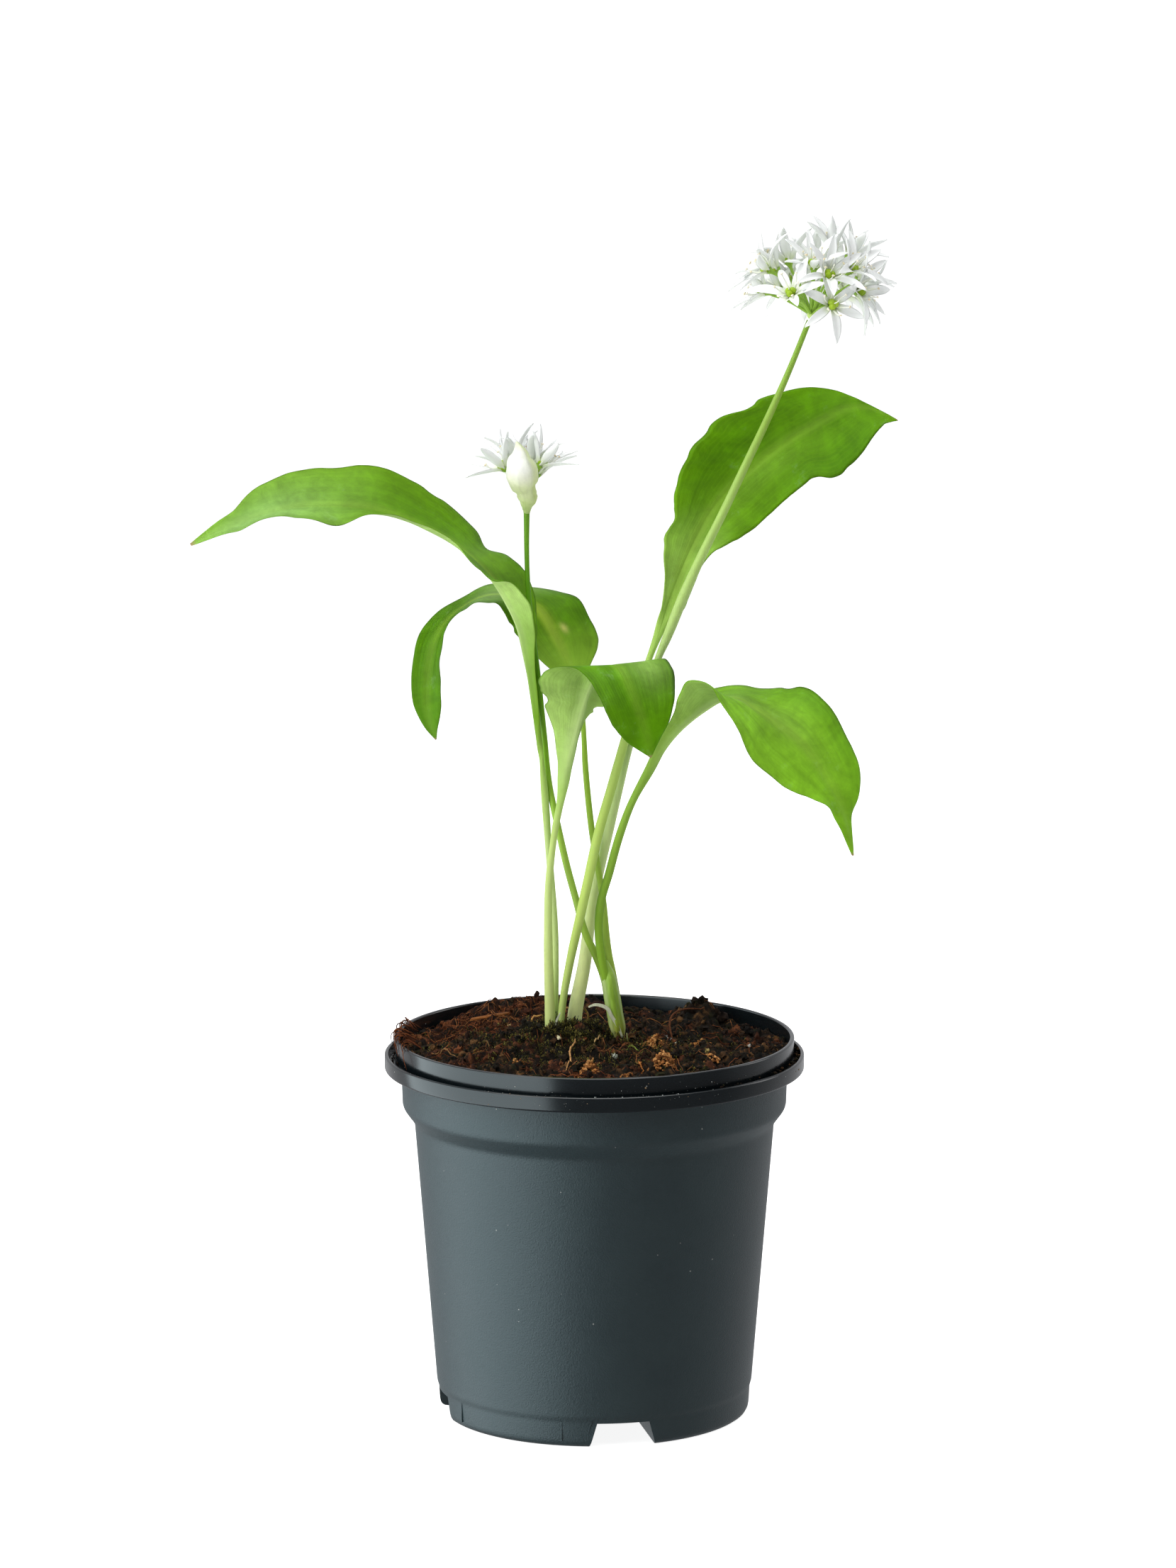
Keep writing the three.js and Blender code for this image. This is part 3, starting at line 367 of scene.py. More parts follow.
def make_pot():
    """The pot in one piece: the shell with the channels' roofs, the webs between lip and collar and the mould
    marks at its foot, less the channels and their drains."""
    plastic = grained_polypropylene()
    pot = turned_piece("nursery_pot", rounded_outline(POT_OUTSIDE + POT_INSIDE), POT_SIDES, plastic)
    full_outline = rounded_outline(POT_OUTSIDE + [(FLOOR_RADIUS, POT_HEIGHT, 0)])
    full = turned_piece("full", full_outline, POT_SIDES, plastic)
    roof_start = CHANNEL_INNER_END - POT_WALL
    roofs = [channel_block(azimuth, POT_WALL, roof_start, BASE_RADIUS - 0.5) for azimuth in CHANNEL_AZIMUTHS]
    inner_roofs = combine(roofs[0], roofs[1:], "UNION")
    combine(inner_roofs, [full], "INTERSECT")
    webs = [upright_slab("web", WEB_HALF_WIDTH, COLLAR_FOOT + 1, COLLAR_TOP - 0.4, LIP_RADIUS - 0.7,
                         COLLAR_RADIUS - 0.4, azimuth) for azimuth in WEB_AZIMUTHS]
    marks = [upright_slab("mark", MOULD_MARK_HALF_WIDTH, MOULD_MARK_FOOT, MOULD_MARK_TOP, BASE_RADIUS - 0.6,
                          BASE_RADIUS + MOULD_MARK_PROUD, azimuth) for azimuth in MOULD_MARK_AZIMUTHS]
    combine(pot, [inner_roofs] + webs + marks, "UNION")
    channels = [channel_block(azimuth, 0, CHANNEL_INNER_END, COLLAR_RADIUS) for azimuth in CHANNEL_AZIMUTHS]
    drains = []
    for azimuth in CHANNEL_AZIMUTHS:
        turn = math.radians(azimuth)
        drain = turned_piece("drain", [(DRAIN_RADIUS, z) for z in DRAIN_CUT], DRAIN_SIDES, plastic)
        drain.location = (DRAIN_PLACE * MM * math.cos(turn), DRAIN_PLACE * MM * math.sin(turn), 0)
        drains.append(drain)
    bpy.context.view_layer.update()
    combine(pot, channels + drains, "DIFFERENCE")
    pot.data.polygons.foreach_set("use_smooth", [True] * len(pot.data.polygons))
    pot.data.set_sharp_from_angle(angle=math.radians(POT_SHARP_ANGLE))
    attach(pot, "root")
    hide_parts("pot")


make_pot()

# The peat: dark, crumbly moss peat with bark and root fibre, pressed level with the lip and heaped round the
# stems, where it has grown mossy. Nothing holds it but the pot.
SOIL_LEVEL = 106.2
SOIL_FALL = 1.6
SOIL_GAP = 0.05
SOIL_EDGE = LIP_RADIUS - LIP_TAPER - POT_WALL - SOIL_GAP
PEAT_REACH = 54.5
SOIL_RINGS = 112
SOIL_SIDES = 540
SOIL_FLANK = [(44.3, 9.4), (50, 85.4), (53.3, 90.3), (53.5, 99.5), (SOIL_EDGE - 0.1, 102)]
HEAPS = [
    (-10, -6, 8.6, 14),
    (-7, -2, -1, 4),
    (8, -12, -1.2, 5),
    (-22, 46, 4.4, 14),
    (-2, 50, 2.6, 6),
    (19, -43, 1.8, 5),
    (18, -14, 1.2, 4),
    (-1, -46, 1.4, 5),
    (31, 38, 5.4, 4.5),
    (-35, -20, 1.5, 9),
    (30, -18, 1.8, 8),
]
PACKED_CRUMBS = (2.7, 1.2)
PEAT_GRAIN = 1.1111
CRUMB_COLORS = ["#0c0805", "#130e08", "#1b130b", "#281b10", "#3a2716", "#17130b", "#22200f", "#5a3f24"]
RED_CRUMB_COLORS = ["#24130b", "#3c2013", "#54301c", "#1c110b", "#6a3d22"]
random_soil = random.Random(11)
noise.seed_set(11)


def soil_height(x, y):
    """The height of the peat, smooth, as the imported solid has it: a gentle fall and wave, and the heaps, each
    a place, a height and a spread."""
    slope = SOIL_FALL * max(-0.6, min(1, -y / 40))
    wave = 0.7 * math.sin(0.52 * x + 1) * math.sin(0.61 * y) + 0.4 * math.sin(1.13 * x - y)
    heaps = 0
    for cx, cy, high, spread in HEAPS:
        heaps += high * math.exp(-((x - cx) ** 2 + (y - cy) ** 2) / (2 * spread ** 2))
    return SOIL_LEVEL + slope + wave + heaps


def packed_crumb(x, y, size):
    """The crumb packed at a place: how far it stands proud there, 0 in the gaps and 1 at most, and its own
    number."""
    place = Vector((x, y, 0)) / size
    warped = place + 0.5 * noise.noise_vector(place * 0.8) + 0.25 * noise.noise_vector(place * 2.3)
    away, crumbs = noise.voronoi(warped)
    number = (math.sin(12.9 * crumbs[0].x + 78.2 * crumbs[0].y) * 4375.8) % 1
    return min(1, 2.2 * (away[1] - away[0])) ** 0.6, number


def lumps(x, y):
    """The peat's lumps and pits at a place, from about -1 to 1, fewer towards the lip."""
    calm = min(1, max(0.35, (PEAT_REACH - math.hypot(x, y)) / 6))
    return noise.fractal(Vector((x, y, 0)) * 0.17, 0.75, 2.1, 6) * calm


def rough_height(x, y):
    """The same height with the peat's lumps and pits, and the crumbs packed in its surface."""
    proud = 0
    for size in PACKED_CRUMBS:
        share, number = packed_crumb(x, y, size)
        proud += 0.45 * size * share * (0.3 + 0.7 * number)
    return soil_height(x, y) - 0.5 + 2 * lumps(x, y) + proud


def shaded_tint(tree, pattern, darkest, lightest):
    """The colour that each point of a piece carries, made darker and lighter by a noise pattern."""
    tint = node(tree, "Attribute", attribute_name="tint")
    shade = node(tree, "MapRange", {"From Min": 0.3, "From Max": 0.7, "To Min": darkest, "To Max": lightest},
                 {"Value": pattern})
    return node(tree, "VectorMath", links={0: tint, "Scale": shade}, operation="SCALE")


def moist_peat():
    """Peat, damp and matte: near black in the pits, which is shade painted into the colour it carries, brown on
    the crumbs, grainy as broken moss is.
    """
    material, tree = empty_material("moist_peat")
    grain = node(tree, "TexNoise", {"Scale": 1 / (PEAT_GRAIN * MM), "Detail": 6, "Roughness": 0.7},
                 {"Vector": node(tree, "TexCoord").outputs["Object"]})
    bump = node(tree, "Bump", {"Strength": 1, "Distance": 0.9 * MM}, {"Height": grain})
    shader = node(tree, "BsdfPrincipled", {"Roughness": 0.8, "Specular IOR Level": 0.14},
                  {"Base Color": shaded_tint(tree, grain, 0.4, 1.7), "Normal": bump})
    node(tree, "OutputMaterial", links={"Surface": shader})
    return material


PEAT = moist_peat()


def tint_points(piece, colors):
    """Gives each point of a piece its own linear colour."""
    attribute = piece.data.color_attributes.new("tint", "FLOAT_COLOR", "POINT")
    attribute.data.foreach_set("color", np.array(colors, float).reshape(-1))


def is_red(x, y):
    """Whether the peat at a place is the redder, younger kind, which lies mostly at the back left."""
    return noise.noise(Vector((x, y, 3)) * 0.12) + (0.4 if x < -8 and y > 0 else 0) > 0.2


def make_bed():
    """The body of the peat: its rough surface, and the sides and underside that the pot hides."""
    rings = [circle(r, z, SOIL_SIDES) for r, z in SOIL_FLANK]
    for i in range(SOIL_RINGS, 0, -1):
        ring = circle(SOIL_EDGE * (i / SOIL_RINGS) ** 0.75, 0, SOIL_SIDES, 0.5 * (i % 2))
        ring[:, 2] = [rough_height(x, y) for x, y, _ in ring]
        rings.append(ring)
    points, faces = skin(rings)
    bed = mesh_piece("peat_bed", points, faces, PEAT)
    colors = []
    for x, y, _ in points:
        share, number = packed_crumb(x, y, PACKED_CRUMBS[1])
        palette = RED_CRUMB_COLORS if is_red(x, y) else CRUMB_COLORS
        color = linear(palette[int(number * 97) % len(palette)])
        # Painted shade: each point is darker in the gaps between the packed crumbs and in the pits of the
        # lumps, as if shade lay there.
        pit_and_gap_shade = (0.25 + 0.75 * share) * min(1.3, max(0.3, 0.8 + 0.7 * lumps(x, y)))
        colors.append(tuple(c * pit_and_gap_shade for c in color[:3]) + (1,))
    tint_points(bed, colors)
    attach(bed, "root")
    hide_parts("soil")


make_bed()

# What lies loose on the peat: crumbs and bark clods, root fibres, straw, a wood chip, pale grains and moss,
# and the dust on the pot's rim. It fell there or grew there, and its own weight or roots hold it.
CRUMB_COUNT = 3600
CRUMB_REACH = 54.2
CLODS = [
    (19, -43, 4.2, 260, 3.6),
    (17, -12.5, 4, 220, 3),
    (-1, -46.5, 3.2, 120, 2),
    (-6, -49.5, 1.8, 40, 1.2),
    (-22, -36, 2.4, 60, 1.6),
    (9, -47, 1.8, 30, 0.8),
    (33, -28, 2.6, 50, 1),
    (30, -2, 5, 60, 0.8),
]
NUT_COLORS = ["#8a5a30", "#a8703c", "#6d4220", "#c08a52"]
BARK_PLACES = [(31, 37), (33.5, 38), (29.5, 38.5), (31.5, 40), (28, 36), (35, 36), (26, 38), (37, 34)]
BARK_SIZE = 3
BARK_COLOR = "#1c120b"
CRUMB_SHARP_ANGLE = 38
FIBRE_COUNT = 620
DRAPED_FIBRE_COUNT = 34
FIBRE_COLORS = ["#5e3018", "#7a4424", "#44210f", "#8b5a34", "#2f190d"]
STRAWS = [
    ((-27.6, 21.4), (-21, 5.3), 0.32, 1.2, "#a98c5e"),
    ((-5.7, -20), (-7.6, -45), 0.26, 2.6, "#b98a58"),
    ((1.5, -16), (-0.7, -28), 0.22, 1.8, "#a98a5c"),
    ((-33, -14), (-27, -22), 0.2, 1, "#6e5534"),
    ((-46, -22), (-38, -26), 0.2, 1, "#8d6a42"),
    ((12.5, -36), (13.5, -42), 0.24, 1.2, "#a86a34"),
    ((-9.5, 2), (-6, 6), 0.34, 4.5, "#b8925a"),
    ((-5.5, -4), (-1.5, 3), 0.36, 5.5, "#c09a5c"),
    ((-19.5, -6), (-14, -3), 0.3, 2.2, "#b98a50"),
    ((8, -18), (14, -21), 0.16, 1, "#8fa24a"),
    ((20, 8), (22, -3), 0.16, 1.4, "#8c8a86"),
]
TWIG_RADIUS = 0.34
TWIG_COLOR = "#5a3218"
GRAINS = [
    (5.7, -28, 1.5, "#b9bfae"),
    (-10, -19, 1.3, "#d8cfa8"),
    (13, 10, 1.6, "#a8703c"),
    (23, -7, 1.2, "#b8b09a"),
    (44, -14, 1, "#c9c4ba"),
    (32, -21, 1.4, "#b09a62"),
]
CHIP_CORNERS = [(-36, 25), (-24.5, 30), (-25.5, 32), (-35.5, 27.4)]
CHIP_THICKNESS = 0.5
CHIP_COLOR = "#8a5428"
MOSS_SHOOT_COUNT = 3600
MOSS_LEAVES_A_SHOOT = 6
MOSS_LEAF_TURN = 2.4
MOSS_COLORS = ["#1a1a08", "#25240b", "#38340f", "#4f4a16", "#6c6424", "#131208", "#80783a", "#1c1a0c"]
RIM_SPECK_COUNT = 170
RIM_SPECK_COLORS = ["#8f9390", "#767a76", "#b4b7b2", "#7a6850"]
GROOVE_CRUMB_COUNT = 260
GOLDEN = (1 + math.sqrt(5)) / 2
BALL_CORNERS = [Vector(p).normalized() for p in (
    (-1, GOLDEN, 0), (1, GOLDEN, 0), (-1, -GOLDEN, 0), (1, -GOLDEN, 0), (0, -1, GOLDEN), (0, 1, GOLDEN),
    (0, -1, -GOLDEN), (0, 1, -GOLDEN), (GOLDEN, 0, -1), (GOLDEN, 0, 1), (-GOLDEN, 0, -1), (-GOLDEN, 0, 1))]
BALL_SIDES = [
    (0, 11, 5), (0, 5, 1), (0, 1, 7), (0, 7, 10), (0, 10, 11), (1, 5, 9), (5, 11, 4), (11, 10, 2), (10, 7, 6),
    (7, 1, 8), (3, 9, 4), (3, 4, 2), (3, 2, 6), (3, 6, 8), (3, 8, 9), (4, 9, 5), (2, 4, 11), (6, 2, 10),
    (8, 6, 7), (9, 8, 1)]


def split_ball():
    """The twenty-sided ball with each side split in four."""
    points = list(BALL_CORNERS)
    middle = {}
    faces = []

    def halfway(a, b):
        key = (min(a, b), max(a, b))
        if key not in middle:
            middle[key] = len(points)
            points.append(((points[a] + points[b]) / 2).normalized())
        return middle[key]

    for a, b, c in BALL_SIDES:
        ab, bc, ca = halfway(a, b), halfway(b, c), halfway(c, a)
        faces += [(a, ab, ca), (b, bc, ab), (c, ca, bc), (ab, bc, ca)]
    return points, faces


COARSE_BALL = (BALL_CORNERS, BALL_SIDES)
FINE_BALL = split_ball()


class Bits:
    """Small bits that become one piece: their points and faces, and a colour for each point."""

    def __init__(self):
        self.points = []
        self.faces = []
        self.colors = []

    def add(self, points, faces, color):
        """Adds a mesh in one colour, or with a list of a colour for each point."""
        start = len(self.points)
        self.points += points
        self.faces += [tuple(start + i for i in face) for face in faces]
        self.colors += color if isinstance(color, list) else [color] * len(points)

    def crumb(self, place, size, color, ball):
        """A crumb: a ball pulled out of shape and turned any way."""
        shape, faces = ball
        stretch = Vector([random_soil.uniform(0.55, 1.2) for _ in range(3)]) * size / 2
        shift = Vector([random_soil.uniform(-50, 50) for _ in range(3)])
        points = []
        for p in shape:
            bulge = 1 + 0.8 * noise.noise(p * 1.5 + shift) + 0.5 * noise.noise(p * 4.3 + shift)
            pulled = Vector((p.x * stretch.x, p.y * stretch.y, p.z * stretch.z))
            points.append(tuple(Vector(place) + pulled * bulge))
        self.add(points, faces, linear(color))

    def thread(self, route, radius, color, sides):
        """A thread along a route, thinner towards both ends."""
        rings = []
        last = len(route) - 1
        for i, here in enumerate(route):
            along = (route[min(i + 1, last)] - route[max(i - 1, 0)]).normalized()
            right = along.orthogonal().normalized()
            up = along.cross(right)
            thin = radius * (0.35 + 0.65 * math.sin(math.pi * (0.12 + 0.76 * i / last)))
            turns = [2 * math.pi * k / sides for k in range(sides)]
            rings.append([here + thin * (math.cos(turn) * right + math.sin(turn) * up) for turn in turns])
        self.add(*skin(rings), linear(color))

    def piece(self, name, material):
        """The bits as one piece that rides with the pot."""
        made = mesh_piece(name, self.points, self.faces, material)
        tint_points(made, self.colors)
        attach(made, "root")
        return made


def in_disc(radius):
    """A seeded place in a disc round the axis."""
    r = radius * math.sqrt(random_soil.random())
    turn = random_soil.uniform(0, 2 * math.pi)
    return r * math.cos(turn), r * math.sin(turn)


def around_axis(radius, turn, height):
    """A place at a radius, a turn and a height."""
    return Vector((radius * math.cos(turn), radius * math.sin(turn), height))


def make_crumbs():
    """Peat crumbs of 0.5 to 2.8 mm all over, redder at the back left, the nut-brown clods, each a place, a
    radius, a count and a height, and the dark bark on the heap at the back."""
    crumbs = Bits()
    for _ in range(CRUMB_COUNT):
        x, y = in_disc(CRUMB_REACH)
        size = 0.5 + 2.3 * random_soil.random() ** 4
        color = random_soil.choice(RED_CRUMB_COLORS if is_red(x, y) else CRUMB_COLORS)
        place = (x, y, rough_height(x, y) + size * random_soil.uniform(-0.2, 0.2))
        crumbs.crumb(place, size, color, FINE_BALL if size > 1.1 else COARSE_BALL)
    for cx, cy, radius, count, high in CLODS:
        for _ in range(count):
            turn = random_soil.uniform(0, 2 * math.pi)
            share = math.sqrt(random_soil.random())
            x = cx + radius * share * math.cos(turn)
            y = cy + radius * 0.8 * share * math.sin(turn)
            lift = high * (1 - share * share) * random_soil.uniform(0.3, 1)
            place = (x, y, rough_height(x, y) + lift)
            color = random_soil.choice(NUT_COLORS)
            crumbs.crumb(place, random_soil.uniform(0.4, 1.2), color, COARSE_BALL)
    for x, y in BARK_PLACES:
        crumbs.crumb((x, y, soil_height(x, y)), BARK_SIZE, BARK_COLOR, FINE_BALL)
    piece = crumbs.piece("peat_crumbs", PEAT)
    piece.data.set_sharp_from_angle(angle=math.radians(CRUMB_SHARP_ANGLE))
    return piece


def surface_route(x, y, heading, length, curl, lift):
    """A wandering route over the peat, lifted a little off it."""
    route = []
    steps = max(6, int(length / 1.1))
    for i in range(steps + 1):
        high = 0.15 + lift * math.sin(math.pi * i / steps)
        route.append(Vector((x, y, rough_height(x, y) + high)))
        heading += random_soil.gauss(0, curl)
        x += length / steps * math.cos(heading)
        y += length / steps * math.sin(heading)
        if math.hypot(x, y) > PEAT_REACH:
            break
    return route


def make_fibres():
    """Root and peat fibres: hair-thin, red-brown, thickest at the back left, some draped over the lip."""
    fibres = Bits()
    for i in range(FIBRE_COUNT):
        if i % 5 < 3:
            x, y = random_soil.uniform(-50, -4), random_soil.uniform(2, 48)
            if math.hypot(x, y) > 53:
                continue
        else:
            x, y = in_disc(52)
        route = surface_route(x, y, random_soil.uniform(0, 2 * math.pi), random_soil.uniform(4, 15), 0.35,
                              random_soil.uniform(0, 1.4))
        if len(route) > 4:
            fibres.thread(route, random_soil.uniform(0.07, 0.16), random_soil.choice(FIBRE_COLORS), 3)
    for _ in range(DRAPED_FIBRE_COUNT):
        turn = math.radians(random_soil.uniform(166, 202))
        span = math.radians(random_soil.uniform(-9, 9))
        start = random_soil.uniform(50, 54)
        over = random_soil.uniform(55.5, 58.8)
        drop = random_soil.uniform(0.5, 5) if over > 57.4 else 0
        route = []
        for t in [step / 11 for step in range(12)]:
            r = start + (over - start) * math.sin(math.pi * t * 0.62)
            high = POT_HEIGHT - 0.55 + 2.4 * math.sin(math.pi * t) - drop * t * t
            route.append(around_axis(r, turn + span * t, high))
        fibres.thread(route, random_soil.uniform(0.13, 0.2), random_soil.choice(FIBRE_COLORS[:3]), 3)
    return fibres.piece("root_fibres", PEAT)


def make_litter():
    """Straws, each with its ends, radius, lift and colour, a bent twig, pale grains and a wood chip."""
    litter = Bits()
    for (x0, y0), (x1, y1), radius, lift, color in STRAWS:
        route = []
        for t in [i / 14 for i in range(15)]:
            x = x0 + (x1 - x0) * t + 0.5 * math.sin(3.3 * math.pi * t)
            y = y0 + (y1 - y0) * t
            route.append(Vector((x, y, rough_height(x, y) + 0.3 + lift * math.sin(math.pi * t))))
        litter.thread(route, radius, color, 6)
    twig = []
    for t in [i / 21 for i in range(22)]:
        x, y = 23 + 9 * t - 5 * math.sin(math.pi * t), 0.5 + 34 * t
        twig.append(Vector((x, y, max(rough_height(x, y) + 0.4, 106.5 + 5.5 * math.sin(0.8 * math.pi * t)))))
    litter.thread(twig, TWIG_RADIUS, TWIG_COLOR, 6)
    for x, y, size, color in GRAINS:
        litter.crumb((x, y, rough_height(x, y) + 0.6), size, color, FINE_BALL)
    left = CHIP_CORNERS[0][0]
    rest = max(rough_height(x, y) for x, y in CHIP_CORNERS) + 0.2
    chip = [[(x, y, rest + 0.08 * (x - left) + up) for x, y in CHIP_CORNERS] for up in (0, CHIP_THICKNESS)]
    litter.add(*skin(chip), linear(CHIP_COLOR))
    return litter.piece("straw_and_grains", PEAT)


def end_in_tissue(tree, color, roughness, gloss, glow_share, relief=None):
    """Ends a material of thin living tissue: its skin, and the share of the light that comes through it."""
    normal = {"Normal": relief} if relief else {}
    surface = node(tree, "BsdfPrincipled", {"Roughness": roughness, "Specular IOR Level": gloss},
                   {"Base Color": color, **normal})
    glow = node(tree, "BsdfTranslucent", links={"Color": color, **normal})
    tissue = node(tree, "MixShader", {0: glow_share}, {1: surface, 2: glow})
    node(tree, "OutputMaterial", links={"Surface": tissue})


def moss_leaf():
    """Moss leaf: one cell thick, olive and wet, darkened low between the shoots by painted shade; it lets some
    light through.
    """
    material, tree = empty_material("moss_leaf")
    end_in_tissue(tree, node(tree, "Attribute", attribute_name="tint"), 0.5, 0.25, 0.25)
    return material


def make_moss():
    """Moss on the heap round the stems: shoots of tiny leaves in a spiral, near black below with painted shade,
    olive at their tips. Each leaf has a keel, so it is a closed body."""
    moss = Bits()
    for i in range(MOSS_SHOOT_COUNT):
        near_stems = i % 4 == 0
        x = random_soil.gauss(-6, 6 if near_stems else 18)
        y = random_soil.gauss(-13, 4 if near_stems else 16)
        if math.hypot(x, y) > 53.5 or noise.noise(Vector((x, y, 21)) * 0.16) < -0.14:
            continue
        lean = Vector((random_soil.gauss(0, 0.45), random_soil.gauss(-0.15, 0.45), 1)).normalized()
        foot = Vector((x, y, rough_height(x, y) - 0.3))
        high = random_soil.uniform(0.9, 2.3)
        turn = random_soil.uniform(0, 2 * math.pi)
        shoot_color = linear(random_soil.choice(MOSS_COLORS))
        for k in range(MOSS_LEAVES_A_SHOOT):
            up = (k + 1) / MOSS_LEAVES_A_SHOOT
            turn += MOSS_LEAF_TURN
            way = (1.15 - 0.75 * up) * around_axis(1, turn, 0) + (0.35 + 0.65 * up) * lean
            leaf = way.normalized() * random_soil.uniform(0.5, 0.95)
            side = leaf.cross(Vector((0.1, 0, 1))).normalized() * 0.17
            root = foot + lean * high * up
            middle = root + leaf * 0.45
            keel = middle + side.cross(leaf).normalized() * 0.09
            points = [tuple(p) for p in (root, middle + side, middle - side, root + leaf, keel)]
            # Painted shade: leaves low on a shoot are darkened, as if shade lay deep in the tuft.
            color = tuple(c * (0.3 + 0.95 * up ** 1.5) for c in shoot_color[:3]) + (1,)
            moss.add(points, [(0, 4, 1), (1, 4, 3), (3, 4, 2), (2, 4, 0), (0, 1, 3, 2)], color)
    return moss.piece("moss", moss_leaf())


def make_rim_dust():
    """Specks of peat and lime that stuck to the wet rim, and the crumbs that fell in the groove behind it."""
    dust = Bits()
    for i in range(RIM_SPECK_COUNT):
        turn = math.radians(random_soil.gauss(-84, 20) if i % 3 else random_soil.uniform(-180, 0))
        r, high = random_soil.choice([(LIP_RADIUS - 0.15, random_soil.uniform(103, 109.2)),
                                      (LIP_RADIUS - 0.3, random_soil.uniform(103, 106)),
                                      (COLLAR_RADIUS, random_soil.uniform(101.2, 104.3)),
                                      (COLLAR_RADIUS - 0.5, COLLAR_TOP)])
        size = 0.12 + 0.42 * random_soil.random() ** 5
        dust.crumb(around_axis(r, turn, high), size, random_soil.choice(RIM_SPECK_COLORS), COARSE_BALL)
    for i in range(GROOVE_CRUMB_COUNT):
        turn = math.radians(random_soil.uniform(-55, 20) if i % 2 else random_soil.uniform(-200, 20))
        r = random_soil.uniform(57.6, 58.6)
        high = COLLAR_FOOT + POT_WALL + random_soil.uniform(0, 3.4 if math.cos(turn) > 0.6 else 1)
        size = random_soil.uniform(0.4, 1.1)
        dust.crumb(around_axis(r, turn, high), size, random_soil.choice(CRUMB_COLORS), COARSE_BALL)
    return dust.piece("rim_dust", PEAT)


for loose in (make_crumbs(), make_fibres(), make_litter(), make_moss(), make_rim_dust()):
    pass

# The leaves: wild garlic's own, each a soft stalk that opens into one blade and bends over by its weight. The
# blade is matte above, paler and keeled below, with veins that run side by side from the stalk to the tip.
LEAF_STEPS = 12
LEAF_COLUMNS = 41
BLADE_HALF_THICKNESS = 0.13
KEEL_HEIGHT = 0.85
KEEL_REACH = 0.9
GROOVE_DEPTH = 0.15
GROOVE_REACH = 0.7
RUFFLE = 0.9
RAGGED = 0.25
VEINS_A_SIDE = 13
STREAKS_ACROSS = 5.5
STREAKS_ALONG = 2.2
BLOTCH_SIZE = 18.18
PATCH_SIZE = 17.24
BLOOM_AND_SHEEN_SIZE = 7.692
MOTTLE_SIZE = 3.846
CELL_SIZE = 0.7143
# The bloom's pale grey-green: partly the wax's own bloom, partly a painted sheen.
BLOOM_AND_SHEEN_COLOR = "#9dbf86"
DRY_TIP_COLOR = "#a08a62"
FIRST_COLUMNS = list(range(LEAF_COLUMNS))
RING_COLUMNS = FIRST_COLUMNS + FIRST_COLUMNS[-2:0:-1]
